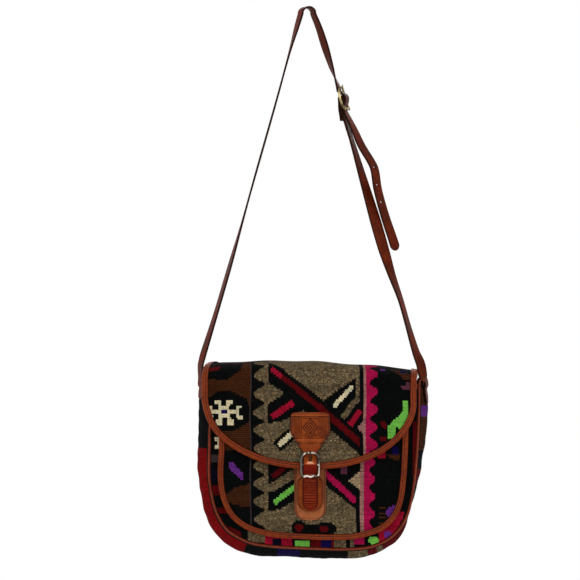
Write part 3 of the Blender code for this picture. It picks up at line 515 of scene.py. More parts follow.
class Loom:
    """Chooses yarns for cells. Places are millimetres right of and below the bag's top middle."""

    def __init__(self, u, v, ground):
        self.u = u * 1000
        self.v = np.floor(v * 1000 / PICK) * PICK + PICK / 2
        self.yarn = np.full(u.shape, YARN_NAMES.index(ground))

    def fill(self, where, yarn):
        self.yarn[where] = YARN_NAMES.index(yarn)

    def box(self, u0, u1, v0, v1, yarn):
        (left, right), (top, bottom) = sorted((u0, u1)), sorted((v0, v1))
        self.fill((self.u >= left) & (self.u < right) & (self.v >= top) & (self.v < bottom), yarn)

    def bar(self, start, end, width, yarn):
        """A slanted bar, cut off square."""
        du, dv = end[0] - start[0], end[1] - start[1]
        size = math.hypot(du, dv)
        along = ((self.u - start[0]) * du + (self.v - start[1]) * dv) / size
        off = ((self.u - start[0]) * dv - (self.v - start[1]) * du) / size
        self.fill((along > -width / 4) & (along < size + width / 4) & (np.abs(off) < width / 2), yarn)

    def shape(self, corners, yarn):
        inside = np.zeros(self.u.shape, bool)
        for (u0, v0), (u1, v1) in zip(corners, corners[1:] + corners[:1]):
            if v0 == v1:
                continue
            crossing = u0 + (self.v - v0) * (u1 - u0) / (v1 - v0)
            inside ^= ((self.v > min(v0, v1)) & (self.v <= max(v0, v1)) & (self.u < crossing))
        self.fill(inside, yarn)

    def disc(self, centre, wide, high, yarn):
        du = (self.u - centre[0]) / wide
        dv = (self.v - centre[1]) / high
        self.fill(du * du + dv * dv < 1, yarn)

    def star(self, centre, yarn, heart):
        """A square ring with two hooked legs on each side, a little askew."""
        cu, cv = centre
        straight = self.u
        self.u = self.u - 0.07 * (self.v - cv)
        self.box(cu - 7.2, cu + 6.4, cv - 7.6, cv + 7.4, yarn)
        self.box(cu - 4.0, cu + 4.2, cv - 2.8, cv + 2.8, heart)
        for side in (-1, 1):
            for leg in (-1, 1):
                self.box(cu + leg * 3.2, cu + leg * 7.4, cv + side * 7, cv + side * 11.5, yarn)
                self.box(cu + leg * 3.0, cu + leg * 11.0, cv + side * 10.2, cv + side * 15.2, yarn)
                self.box(cu + side * 15.2, cu + side * 18.6, cv, cv + leg * 7.0, yarn)
                self.box(cu + side * 16.2, cu + side * 22.8, cv + leg * 4.4, cv + leg * 8.4, yarn)
            self.box(cu + side * 6, cu + side * 19.0, cv - 2.2, cv + 2.2, yarn)
        for side in (-1, 1):
            self.box(cu - 3.0, cu + 3.0, cv + side * 7.6, cv + side * 16, "black")
        self.u = straight


def leaf_column(loom):
    """Greige leaves that point left from a stem, on black."""
    loom.box(LINE_EDGE, STEM_RIGHT, -1000, 1000, "black")
    loom.box(STEM_LEFT, STEM_RIGHT, -1000, 1000, "greige")
    off = (loom.v - LEAF_FIRST + LEAF_PITCH / 2) % LEAF_PITCH - LEAF_PITCH / 2
    reach = LEAF_TIP + (STEM_LEFT - LEAF_TIP) * (np.abs(off) / LEAF_HALF) ** 1.67
    loom.fill((loom.u > reach) & (loom.u < STEM_RIGHT) & (np.abs(off) < LEAF_HALF), "greige")
    loom.box(BROWN_EDGE, LINE_EDGE, -1000, 1000, "line")


def tooth_column(loom):
    """Black and rose lines, and pink teeth that point right."""
    low = loom.v > LOW_FROM
    for where, lines in ((~low, (BLACK_LINE, ROSE_LINE)), (low, LOW_LINES)):
        for (left, right), yarn in zip(lines, ("black", "rose")):
            loom.fill(where & (loom.u >= left) & (loom.u < right), yarn)
    off = np.abs((loom.v - TOOTH_FIRST + TOOTH_PITCH / 2) % TOOTH_PITCH - TOOTH_PITCH / 2)
    tip = np.where(low, TOOTH_LOW_TIP, TOOTH_TIP)
    edge = TOOTH_VALLEY + (tip - TOOTH_VALLEY) * np.clip((9.2 - off) / 6.4, 0, 1)
    start = np.where(low, LOW_LINES[1][1], ROSE_LINE[1])
    loom.fill((loom.u >= edge) & (loom.u < 140), "black")
    loom.fill((loom.u >= start) & (loom.u < edge), "pink")


def left_band(loom):
    """Brown band with a black medallion and its hooked star."""
    loom.box(-400, BROWN_EDGE, -1000, 1000, "brown")
    loom.shape([(-150, -14), (-78, -14), (-82, 6), (-98, 17), (-150, 12)], "black")
    loom.shape([(-124, -3), (-106, -2), (-108, 6), (-124, 4)], "dark_red")
    loom.shape([(-122, 40), (-109, 31), (-97, 31), (-83, 37), (-74, 42), (BROWN_EDGE, 52),
                (BROWN_EDGE, 70), (-85, 79), (-93, 82), (-105, 82), (-122, 66), (-130, 52)], "black")
    loom.star((-101.6, 58.2), "cream", "navy")
    loom.box(-400, BROWN_EDGE, 106, 300, "black")
    loom.shape([(-97, 121), (-92, 119.5), (-78, 134), (-78, 141), (-81.5, 140.5), (-97, 127)], "purple")
    loom.shape([(BROWN_EDGE, 147), (-87, 151), (-102, 161), (-99, 170), (-79, 175),
                (BROWN_EDGE, 176)], "brown")
    loom.box(-104, -86, 186, 189, "line")


def middle_field(loom):
    """Greige field with slanted bars on black, crossing under the closure."""
    loom.shape([(STEM_RIGHT, -16), (-56, -16), (-45, -4), (19.4, 45.3), (58.7, 17.2), (59.7, 39), (69, 39),
                (69, 112), (64.5, 110), (28.3, 79.6), (-4.9, 56), (-18.5, 64), (-32, 69.5),
                (STEM_RIGHT, 71.8)], "black")
    loom.shape([(STEM_RIGHT, 24.2), (-27, 36), (STEM_RIGHT, 47.8)], "greige")
    loom.bar((-43, 8), (-8, 34.6), 5.6, "red")
    loom.bar((-30, 17.9), (17, 53.6), 6.0, "dark_red")
    loom.bar((15, 52), (66, 97), 7.6, "dark_red")
    loom.bar((-18.5, 48), (-41, 63), 7.4, "red")
    loom.bar((-19.5, 85.5), (-34.5, 98.6), 15.0, "black")
    loom.bar((-19.5, 85.5), (-33.5, 97.6), 6.4, "cream")
    loom.bar((54.6, 28.2), (33.4, 51), 5.2, "cream")
    loom.bar((62.4, 41), (44.4, 64), 6.8, "greige")


def pocket_field(loom):
    """The lower part of the field, which only the pocket and the back show."""
    loom.shape([(STEM_RIGHT, 108), (-8, 108), (-12, 126), (-19, 129.5), (STEM_RIGHT, 147.2)], "black")
    loom.bar((-29, 127.4), (-41, 136.6), 6.4, "dark_red")
    loom.shape([(STEM_RIGHT, 157), (-40.6, 155), (-15, 140.2), (-4, 134), (-4, 160), (-23.4, 172.2),
                (-35.7, 178.4), (STEM_RIGHT, 180.6)], "black")
    loom.bar((-12, 148), (-39, 169), 6.6, "green")
    loom.shape([(14, 108), (65, 108), (65, 181), (24.7, 150), (14, 141)], "black")
    loom.box(42, 50, 126, 134, "mauve")
    loom.bar((16, 127.4), (60.6, 168), 7.4, "pink")
    loom.box(-2, 16, 196.5, 209.5, "black")
    loom.disc((-9.4, 201.8), 9.6, 9.4, "black")
    loom.disc((24.2, 202.4), 12.6, 8.6, "black")
    loom.disc((-9.4, 201.2), 5.0, 4.6, "dark_red")
    loom.disc((21.0, 202.6), 6.0, 3.8, "dark_red")


def right_field(loom):
    """Motifs across the lines, and small ones on the black field at the right."""
    loom.bar((65, 57.4), (53.6, 72.4), 7.0, "red")
    loom.shape([(61.4, 77.4), (73.0, 66.4), (73.0, 88.4)], "rose")
    loom.box(91, 96.2, 2.6, 8, "purple")
    loom.shape([(103, 1), (114, 1), (130, 9), (130, 17.4), (119, 16), (110, 8)], "brown")
    loom.box(115.4, 122.6, 3.4, 8, "navy")
    loom.box(123.4, 132, 18.4, 23.8, "mauve")
    loom.shape([(116.6, 24.4), (132, 24.4), (132, 29.6), (119, 29.6)], "mauve")
    loom.shape([(117.2, 42.6), (124.6, 42.6), (124.6, 65), (115.6, 78.8), (109.8, 77.4), (109.2, 87.6),
                (105.8, 92), (100.8, 90.4), (100.8, 75.6), (106.6, 67.8), (114.2, 62.8),
                (117.8, 55)], "green")
    loom.shape([(91, 70), (94, 68.6), (99, 74), (98.4, 79), (92, 77)], "dark_red")
    loom.box(91, 98, 88.4, 93.8, "dark_red")
    loom.box(87, 97, 108.6, 115, "red")
    loom.shape([(96, 110), (115, 110), (115, 119), (102, 114.8)], "brown")
    loom.box(104.4, 112.6, 101, 109.4, "navy")
    for top in (175.4, 181.6, 187.6, 194.0):
        loom.box(88.4, 97.2, top, top + 2.6, "brown")
    loom.shape([(97, 182), (99.6, 177), (108.6, 172.4), (108.4, 178.6), (102, 187.6), (98.2, 187)], "purple")


def as_seen(u, v, nearer):
    """Where a spot of a sheet is seen from the front: a nearer sheet looks larger."""
    eye_v = -(BAG_DROP + VIEW_Z)
    return (u + BAG_X - VIEW_X) * nearer + VIEW_X, (v - eye_v) * nearer + eye_v


def sand_diamond(loom):
    loom.shape([(51.6, 142.6), (66.2, 130.4), (66.2, 154)], "sand")


def kilim(u, v, whole=True):
    """The main cloth, from which flap, back and pocket are cut. The flap has no low motifs."""
    u, v = as_seen(u, v, KILIM_NEARER)
    loom = Loom(u, v, "greige")
    fine = v * 1000
    picks = (loom.v + TURN) % REPEAT - TURN
    for rows, parts in ((fine, [leaf_column]), (picks, [left_band, middle_field] + [pocket_field] * whole),
                        (np.where(fine < -TURN, fine, picks), [tooth_column]),
                        (picks, [right_field] + [sand_diamond] * whole)):
        loom.v = rows
        for part in parts:
            part(loom)
    return loom.yarn


def margin(u, v):
    """The front panel, of which a strip shows round the pocket."""
    u, v = as_seen(u, v, FRONT_NEARER)
    loom = Loom(u, v, "black")
    loom.box(-114.4, -107.4, 89.2, 93.4, "cream")
    loom.box(-110.6, -107.4, 93.4, 100.2, "cream")
    loom.box(-114.2, -107.4, 99.6, 103.8, "cream")
    loom.box(-140, -100, 111, 119.6, "line")
    loom.box(-140, -100, 129, 141, "ink")
    loom.box(-140, -98, 148, 161, "dark_red")
    loom.box(-140, -92, 175, 183, "dark_red")
    loom.shape([(-101, 196), (-82, 206), (-82, 212), (-103, 203)], "dark_red")
    loom.box(-73.8, -52.4, 205, 219, "greige")
    loom.box(-51.8, -18.6, 208, 230, "red")
    loom.box(-43, -32, 213.5, 230, "ink")
    loom.box(-17.5, 4, 210, 230, "black")
    loom.box(-15.4, 2.4, 215.4, 223, "green")
    loom.box(4, 34, 210, 230, "dark_red")
    loom.box(17.4, 29.4, 214.5, 230, "navy")
    loom.box(34, 48, 210, 230, "greige")
    loom.box(52.6, 58, 208, 230, "greige")
    loom.box(58, 70, 208, 221, "pink")
    loom.disc((81.4, 215.6), 6.8, 4.4, "green")
    loom.shape([(88, 202), (98, 196), (112, 180), (120, 180), (112, 200), (98, 216), (88, 221)], "red")
    loom.shape([(94, 206), (99, 203), (104, 205.5), (103, 210), (97, 213), (94, 211)], "purple")
    loom.box(129.6, 140, 70, 200, "dark_red")
    return loom.yarn


def side_strip(u, v):
    """The gusset: a strip in long blocks of colour."""
    loom = Loom(u, v, "black")
    loom.box(-200, -84, 101, 260, "crimson")
    loom.box(-43.6, -16, 200, 260, "navy")
    loom.box(16, 43, 200, 229, "dark_red")
    loom.box(43, 68, 200, 260, "greige")
    loom.box(68, 79, 200, 260, "dark_red")
    loom.box(79, 88, 200, 260, "greige")
    loom.box(88, 116, 190, 260, "dark_red")
    loom.box(116, 200, 30, 53, "brown")
    loom.box(132, 200, 53.6, 63.8, "purple")
    loom.box(116, 200, 66, 104, "brown")
    loom.box(138, 200, 115, 118.5, "greige")
    loom.box(116, 200, 128, 146, "dark_red")
    return loom.yarn


def yarn_colours(yarn, v):
    """Linear colours of cells: each yarn varies from pick to pick and along its length."""
    draws = np.random.default_rng(SEED)
    spreads = np.array([MOTTLE.get(name, PLAIN_MOTTLE) for name in YARN_NAMES])
    rows = np.round(v / CELL_HEIGHT).astype(int)
    picks = draws.normal(0, 1, 2000)
    level = np.exp(draws.normal(0, 1, yarn.shape) * spreads[yarn] + 0.09 * picks[rows % 2000])
    stripe = np.where(rows % 2 == 0, *BROWN_STRIPES)
    level = np.where(yarn == YARN_NAMES.index("brown"), level * stripe, level)
    warm = 1 + draws.normal(0, 0.07, yarn.shape)
    colour = np.array([linear(YARNS[name]) for name in YARN_NAMES])[yarn] * level[:, None]
    colour[:, 0] *= warm
    colour[:, 2] /= warm
    return np.clip(colour, 0, 1)


# Woven sheets

class Outline(NamedTuple):
    """A panel's edge in the sheet's own coordinates, x across and s along it."""

    centre: object
    half: object
    straight: float
    curve: float
    power: float
    top: float

    def norm(self, x, s):
        xi = (x - self.centre(s)) / self.half(s)
        zeta = np.maximum(s - self.straight, 0.0) / self.curve
        return xi, zeta, (np.abs(xi) ** self.power + zeta ** self.power) ** (1 / self.power)

    def inside(self, x, s):
        return (self.norm(x, s)[2] <= 1.0) & (s >= self.top)

    def snap(self, x, s):
        """The nearest place of the edge, roughly, for places close to it."""
        s = np.where(np.abs(s - self.top) < 1.2 * CELL_HEIGHT, self.top, s)
        xi, zeta, reach = self.norm(x, s)
        near = np.abs(reach - 1) < 0.06
        xi = np.where(near, xi / np.maximum(reach, 1e-6), xi)
        s = np.where(near & (s > self.straight), self.straight + zeta / reach * self.curve, s)
        return self.centre(s) + self.half(s) * xi, s


GUSSET_CREASE_SIZE = 0.016
GUSSET_CREASE = 0.0010
SHEET_HALF = 0.150
RIM_YARN = (40, 30, 24)
LEAN_COS, LEAN_SIN = math.cos(BAG_LEAN), math.sin(BAG_LEAN)


def middles(grid):
    return (grid[:-1, :-1] + grid[1:, 1:]) / 2


def closed_sheet(name, point, way, kept, finish):
    """A thin closed sheet over the kept cells of a grid, with its faces and the places they use."""
    rows, columns = kept.shape
    width = columns + 1
    total = len(point)
    r, c = np.nonzero(kept)
    a = r * width + c
    quads = np.stack([a, a + width, a + width + 1, a + 1], axis=1)
    padded = np.pad(kept, 1)
    rim = []
    for dr, dc, first, second in ((0, -1, 0, width), (0, 1, width + 1, 1),
                                  (-1, 0, 1, 0), (1, 0, width, width + 1)):
        r, c = np.nonzero(kept & ~padded[1 + dr:1 + dr + rows, 1 + dc:1 + dc + columns])
        p, q = r * width + c + first, r * width + c + second
        rim.append(np.stack([q, p, p + total, q + total], axis=1))
    faces = np.concatenate([quads, quads[:, ::-1] + total] + rim)
    used, compact = np.unique(faces, return_inverse=True)
    faces = compact.reshape(faces.shape)
    made = new_piece(name, np.concatenate([point + way, point - way])[used], faces.tolist(), finish)
    return made, faces, used


def woven(name, node, spots, kept, u, v, pattern, finish):
    """A closed sheet of woven cells. spots are the places of its grid and the ways out there."""
    point, way = spots
    made, faces, used = closed_sheet(name, point, way * KILIM / 2, kept, finish)
    cell_u, cell_v = middles(u)[kept], middles(v)[kept]
    colours = yarn_colours(pattern(cell_u, cell_v), cell_v)
    rim_colours = np.tile(linear(RIM_YARN), (len(faces) - 2 * len(colours), 1))
    every = np.concatenate([colours, colours, rim_colours])
    corners = np.repeat(np.concatenate([every, np.ones((len(every), 1))], axis=1), 4, axis=0)
    layer = made.data.color_attributes.new("yarn", "FLOAT_COLOR", "CORNER")
    layer.data.foreach_set("color", corners.astype(np.float32).ravel())
    made.data.color_attributes.active_color = layer
    grid = np.stack([np.tile(u.ravel() / CELL_WIDTH, 2), np.tile(v.ravel() / CELL_HEIGHT, 2)], axis=1)
    weave = grid[used][faces.ravel()]
    made.data.uv_layers.new(name="weave").data.foreach_set("uv", weave.astype(np.float32).ravel())
    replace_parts(made, node)
    return made


def level_sheet(name, node, outline, place, v_range, pattern, finish):
    """A woven sheet whose cells are level though the bag leans, cut to an outline."""
    u, v = np.meshgrid(np.arange(-SHEET_HALF, SHEET_HALF + CELL_WIDTH, CELL_WIDTH),
                       np.arange(v_range[0], v_range[1] + CELL_HEIGHT, CELL_HEIGHT))
    x, s = u * LEAN_COS + v * LEAN_SIN, v * LEAN_COS - u * LEAN_SIN
    kept = outline.inside(middles(x), middles(s))
    count = np.zeros(x.shape, int)
    for dr in (0, 1):
        for dc in (0, 1):
            count[dr:dr + kept.shape[0], dc:dc + kept.shape[1]] += kept
    edge = (count > 0) & (count < 4)
    x, s = (np.where(edge, snapped, own) for snapped, own in zip(outline.snap(x, s), (x, s)))
    return woven(name, node, place(x.ravel(), s.ravel()), kept, u, v, pattern, finish)


def fixed(value):
    return lambda s: np.full_like(s, value)


def front_place(offset):
    def place(x, s):
        point = np.stack([x, FRONT_Y - offset - dome(x, -s), -s], axis=-1)
        return point, np.broadcast_to(np.array(FRONT_WAY), point.shape)
    return place


def fold_turn(s):
    return ramp(s, FOLD_BACK, FOLD_HEIGHT)


def fold_centre(s):
    return mix(BODY_X, FLAP_X, fold_turn(s))


def fold_half(s):
    return mix(PANEL_HALF_WIDTH, FLAP_HALF_WIDTH, fold_turn(s))


def behind(s):
    """From the back's s, which runs down, to the cloth's, which is negative behind the fold."""
    return FOLD_BACK + FOLD_HEIGHT - s


def cloth_sheets(finish):
    panel = (fixed(BODY_X), fixed(PANEL_HALF_WIDTH), BODY_STRAIGHT, PANEL_CORNER, BODY_POWER)
    flap_edge = Outline(fold_centre, fold_half, FLAP_STRAIGHT, FLAP_CURVE, FLAP_POWER, FOLD_BACK)
    pocket_edge = Outline(fixed(POCKET_X), fixed(POCKET_HALF_WIDTH), POCKET_STRAIGHT, POCKET_CORNER,
                          POCKET_POWER, POCKET_TOP)
    rows = (("kilim_flap", "back_and_flap", flap_edge, folded, (FOLD_BACK - 0.012, 0.134),
             lambda u, v: kilim(u, v, whole=False)),
            ("kilim_back", "back_and_flap", Outline(*panel, FOLD_HEIGHT), lambda x, s: folded(x, behind(s)),
             (0.008, 0.236), lambda u, v: kilim(u, behind(v))),
            ("kilim_front", "front_panel", Outline(*panel, MOUTH_DROP), front_place(0.0),
             (0.014, 0.236), margin),
            ("kilim_pocket", "pocket_panel", pocket_edge, front_place(POCKET_Y), (0.036, 0.226), kilim))
    return [level_sheet(*row, finish) for row in rows]


def gusset_surface(radial, reach_depth, columns):
    """Places and ways out of the gusset, at an even pitch along the seam."""
    path = resample(SEAM, CELL_HEIGHT * 1.1)
    run = run_along(path)
    bulges = np.array([bulge_at(r / run[-1]) for r in run])
    ways = np.array([tuple(DEPTH_WAY.cross(along).normalized()) for along in tangents(path)])
    depth = np.linspace(-reach_depth, reach_depth, columns + 1)
    swell = bulges[:, None] * crown(depth[None, :])
    point = np.array(path)[:, None, :] + ways[:, None, :] * (radial + swell)[..., None]
    point = point + np.array(DEPTH_WAY) * depth[None, :, None]
    return point, np.broadcast_to(ways[:, None, :], point.shape), np.array(run), depth


def gusset_cloth(finish):
    """The gusset with soft cross creases where it turns the bottom corners."""
    half_depth = HALF_DEPTH - SEAM_CLEAR
    columns = int(round(2 * half_depth / CELL_WIDTH))
    point, way, run, depth = gusset_surface(0.0, half_depth, columns)
    middle = point[:, columns // 2]
    s, x = np.meshgrid(run, depth, indexing="ij")
    creases = lumps(np.stack([s.ravel() / 0.7, x.ravel() * 0.35, np.zeros(s.size)], axis=1),
                    GUSSET_CREASE_SIZE, SEED + 2)
    moved = GUSSET_CREASE * creases * (1 - (np.abs(x.ravel()) / half_depth) ** 2)
    way = way.reshape(-1, 3)

    def pattern(_, cell_s):
        across, down = np.interp(cell_s, run, middle[:, 0]), -np.interp(cell_s, run, middle[:, 2])
        return side_strip(across * LEAN_COS - down * LEAN_SIN, down * LEAN_COS + across * LEAN_SIN)

    spots = point.reshape(-1, 3) + way * moved[:, None], way
    kept = np.ones((len(run) - 1, columns), bool)
    return woven("kilim_gusset", "gusset", spots, kept, x, s, pattern, finish)


# Linings

def lining_sheet(name, node, place, rows, columns, finish):
    """A thin closed sheet through place(t, q), for t down it and q across it from 0 to 1."""
    spots = [place(t, q) for t in steps(rows) for q in steps(columns)]
    point, way = (np.array([tuple(spot[k]) for spot in spots]) for k in (0, 1))
    made, _, _ = closed_sheet(name, point, way * CLOTH / 2, np.ones((rows, columns), bool), finish)
    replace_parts(facing_out(made), node)
    return made


def linings(finish):
    inward = KILIM / 2 + GAP + CLOTH / 2
    columns = 14
    side, way, run, _ = gusset_surface(-inward, HALF_DEPTH - inward - CLOTH / 2 - GAP, columns)

    def low_edge(q):
        return rounded_end(crowded(q), BODY_STRAIGHT, PANEL_CORNER, BODY_POWER)

    def front_lining(t, q):
        x = BODY_X + PANEL_HALF_WIDTH * crowded(q)
        return on_front(x, -mix(MOUTH_DROP, low_edge(q), t), -inward), FRONT_WAY

    def folded_lining(t, q):
        flap_low = rounded_end(crowded(q), FLAP_STRAIGHT, FLAP_CURVE - GAP, FLAP_POWER)
        s = np.array([mix(behind(low_edge(q)), flap_low, t)])
        point, way_out = folded(fold_centre(s) + (fold_half(s) - GAP) * crowded(q), s)
        return point[0] - way_out[0] * inward, way_out[0]

    def side_lining(t, q):
        spot = int(round(t * (len(run) - 1))), int(round(q * columns))
        return side[spot], way[spot]

    return [lining_sheet("lining_of_front", "lining_front", front_lining, 60, 60, finish),
            lining_sheet("lining_of_flap_and_back", "lining_back_and_flap", folded_lining, 130, 64, finish),
            lining_sheet("lining_of_gusset", "lining_gusset", side_lining, 220, columns, finish)]


# Bindings, piping and stitches

# Unevenness of a binding's rolled edge and thickness, and of a piping: reach and size
EDGE_UNEVEN, EDGE_SIZE = 0.00022, 0.013
THICK_UNEVEN, THICK_SIZE = 0.05, 0.006
PIPING_UNEVEN, PIPING_SIZE = 0.06, 0.009

# Depth of the pressed line at a binding's seam, and its distance from the edge as a share of the leaf
SEAM_PRESSED = 0.00035
SEAM_INSET = 0.48

def turn_angles(count):
    return np.linspace(0, 2 * math.pi, count + 1)[:-1]


def ring(point, side, other, radius, count):
    return [point + (side * math.cos(a) + other * math.sin(a)) * radius for a in turn_angles(count)]


def binding_profile(stack, leaf):
    """Rolled leather round the fold: out, across, how dark and how pale (painted shade and highlight). Each
    leaf has a sewn line.
    """
    inner = stack / 2 + BINDING_PLAY
    outer = inner + BINDING
    sewn = -leaf * SEAM_INSET
    # Dark at the cut edge, painted shade in the sewn line's groove, painted highlight on the ridges beside it
    side = [(-leaf, inner + 0.0001, 1, 0), (-leaf - 0.00005, outer - 0.0006, 1, 0),
            (-leaf + 0.0004, outer - 0.0002, 0.6, 0), (-leaf + 0.0012, outer, 0, 0.3),
            (sewn - 0.0008, outer, 0.2, 0.7), (sewn - 0.0003, outer - SEAM_PRESSED, 0.7, 0),
            (sewn, outer - 0.0005, 1, 0), (sewn + 0.0003, outer - SEAM_PRESSED, 0.7, 0),
            (sewn + 0.0009, outer + 0.00005, 0, 0.9), (-0.0008, outer + 0.00015, 0, 0.1)]
    turn = []
    # Painted highlight on the roll's front half, painted shade from its edge to its back
    for angle, dark, worn in ((75, 0, 0.3), (50, 0, 0.8), (25, 0, 0.3), (0, 0.5, 0), (-25, 0.8, 0),
                              (-50, 0.6, 0), (-75, 0.3, 0)):
        a = math.radians(angle)
        turn.append(((BINDING_PLAY + BINDING) * abs(math.cos(a)) ** 0.7, outer * math.sin(a), dark, worn))
    back = [(e, -n, dark, 0) for e, n, dark, _ in reversed(side)]
    inside = [(BINDING_PLAY, -inner, 0.5, 0), (BINDING_PLAY, inner, 0.5, 0)]
    return side + turn + back + inside, sewn, outer


def edge_frames(points, inner_points, facing):
    """Place, way out and way across at each point of an edge."""
    found = []
    for point, inner, along, face in zip(points, inner_points, tangents(points), facing):
        out = point - inner
        out = (out - along * out.dot(along)).normalized()
        across = along.cross(out).normalized()
        found.append((point, out, across if across.dot(face) >= 0 else -across))
    return found


# A stitch in five rings: share of its length, rise and size as shares of its radius
STITCH = ((-0.5, -0.9, 0.5), (-0.42, -0.15, 0.9), (0.0, 0.35, 1.0), (0.42, -0.15, 0.9), (0.5, -0.9, 0.5))


def stitches(name, path, ways, thread, pitch=0.0034, length=0.0024, radius=0.00030):
    """A row of short thread stitches along a line."""
    run = run_along(path)
    centres = (np.arange(int(run[-1] / pitch)) + 0.5) * pitch
    wanted = centres[:, None] + np.array([share for share, _, _ in STITCH]) * length
    vertices, faces = [], []
    for spots in at_run(list(zip(path, ways)), run, wanted):
        rings = []
        for (_, rise, size), spot in zip(STITCH, spots):
            way = Vector(spot[3:]).normalized()
            rings.append((Vector(spot[:3]) + way * (radius * rise), way, size * radius))
        along = (rings[-1][0] - rings[0][0]).normalized()
        more, shapes = swept([ring(point, along.cross(way).normalized(), way, size, 6)
                              for point, way, size in rings])
        faces += [tuple(i + len(vertices) for i in shape) for shape in shapes]
        vertices += more
    return new_piece(name, vertices, faces, thread)


def rolled(name, node, frames, stack, leaf, finish, thread):
    """A binding of uneven, rolled leather, and its row of stitches."""
    profile, sewn, outer = binding_profile(stack, leaf)
    sections = []
    for point, out, across in frames:
        wobble = EDGE_UNEVEN * noise.noise(point / EDGE_SIZE + Vector((leaf * 900, 0, 0)))
        swell = 1 + THICK_UNEVEN * noise.noise(point / THICK_SIZE + Vector((4, 2, 1)))
        sections.append([point + out * (e + wobble * (e > sewn))
                         + across * (n * swell if abs(n) > stack / 2 else n) for e, n, _, _ in profile])
    dark, worn = ([row[k] for row in profile] * len(frames) for k in (2, 3))
    made = facing_out(new_piece(name, *swept(sections), finish, rim=dark, worn=worn))
    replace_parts(made, node)
    path = [point + out * sewn + across * (outer - SEAM_PRESSED) for point, out, across in frames]
    return [made, stitches(name + "_stitches", path, [across for _, _, across in frames], thread)]


def flap_edge_frames():
    """The flap's edge from the back, over the left end of the fold and round to the right."""
    def middle(xi, s):
        s = np.array([s])
        point, way = folded(fold_centre(s) + fold_half(s) * xi, s)
        return Vector(point[0] - way[0] * LINED_MIDDLE), Vector(way[0])

    places = outline_path(FOLD_BACK, FLAP_STRAIGHT, FLAP_CURVE, FLAP_POWER, 69, 220)
    points, facing = zip(*(middle(*place) for place in places))
    inner = []
    for (xi, s), point, along in zip(places, points, tangents(points)):
        if abs(xi) < 1:
            out = along.cross(DEPTH_WAY).normalized() * LEAF_FLAP
            out = -out if out.z > 0 else out
            inner.append(on_front(point.x - out.x, point.z - out.z, FLAP_Y - LINED_MIDDLE))
        else:
            inner.append(middle(xi * (1 - LEAF_FLAP / FLAP_HALF_WIDTH), s)[0])
    return edge_frames(points, inner, facing)


def front_edge_frames(flat, offset, leaf, centre):
    """An edge of a front sheet from its (x, z), with its inside toward the centre."""
    points = [on_front(x, z, offset) for x, z in flat]
    inner = []
    for point, along in zip(points, tangents(points)):
        out = along.cross(DEPTH_WAY).normalized() * leaf
        out = -out if out.dot(point - centre) < 0 else out
        inner.append(on_front(point.x - out.x, point.z - out.z, offset))
    return edge_frames(points, inner, [FRONT_WAY] * len(points))


def bindings(finish, thread):
    pocket_middle = Vector((POCKET_X, FRONT_Y, -POCKET_STRAIGHT))
    pocket = [(POCKET_X + POCKET_HALF_WIDTH * xi, -down) for xi, down in
              outline_path(POCKET_TOP, POCKET_STRAIGHT, POCKET_CORNER, POCKET_POWER, 20, 200)]
    reach = POCKET_HALF_WIDTH - LEAF_POCKET - 2 * GAP
    pocket_mouth = [(POCKET_X + reach * (2 * t - 1), -POCKET_TOP) for t in steps(110)]
    mouth = [(BODY_X + PANEL_HALF_WIDTH * (2 * t - 1), -MOUTH_DROP) for t in steps(120)]
    mouth_middle = Vector((BODY_X, FRONT_Y, -0.2))
    rows = [("binding_of_flap", "flap_binding", flap_edge_frames(), LINED, LEAF_FLAP),
            ("binding_of_pocket", "pocket_binding",
             front_edge_frames(pocket, POCKET_Y, LEAF_POCKET, pocket_middle), KILIM, LEAF_POCKET),
            ("binding_of_pocket_mouth", "pocket_mouth_binding",
             front_edge_frames(pocket_mouth, POCKET_Y, LEAF_MOUTH, pocket_middle), KILIM, LEAF_MOUTH),
            ("binding_of_mouth_front", "mouth_binding_front",
             front_edge_frames(mouth, -LINED_MIDDLE, LEAF_MOUTH, mouth_middle), LINED, LEAF_MOUTH)]
    reach = HALF_DEPTH - LINED / 2 - LINED_MIDDLE - GAP * 2 - BINDING - KILIM / 2
    for word, way, bulge in (("left", -1, BULGES[0][1]), ("right", 1, BULGES[-1][1])):
        frames = []
        for t in steps(30):
            y = reach * (2 * t - 1)
            x = BODY_X + way * (BODY_HALF_WIDTH + bulge * crown(y) - LINED_MIDDLE)
            frames.append((Vector((x, y, -MOUTH_DROP)), Vector((0, 0, 1)), Vector((way, 0, 0))))
        rows.append(("binding_of_mouth_" + word, "mouth_binding_" + word, frames, LINED, LEAF_MOUTH))
    return [piece for row in rows for piece in rolled(*row, finish, thread)]


def pipings(finish):
    # A painted highlight along one side of the piping
    wear_and_highlight = [max(0.0, -math.cos(a - 0.5)) ** 8 for a in turn_angles(12)]
    made = []
    for word, y in (("front", FRONT_Y), ("back", BACK_Y)):
        path = resample([p + DEPTH_WAY * y for p in SEAM], 0.0025)
        sections = []
        for point, along in zip(path, tangents(path)):
            radius = PIPING_RADIUS * (1 + PIPING_UNEVEN * noise.noise(point / PIPING_SIZE))
            sections.append(ring(point, DEPTH_WAY, along.cross(DEPTH_WAY).normalized(), radius, 12))
        piece = new_piece("piping_" + word, *swept(sections), finish, worn=wear_and_highlight * len(path))
        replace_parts(facing_out(piece), word + "_piping")
        made.append(piece)
    return made


# Leather strips: straps, tab, patch and holder

# How far above the bar the chape's slot sits, as a share of its height, and the length in which
# leather widens again below a buckle
SLOT_RISE = 0.12
BUCKLE_TAPER = 0.006

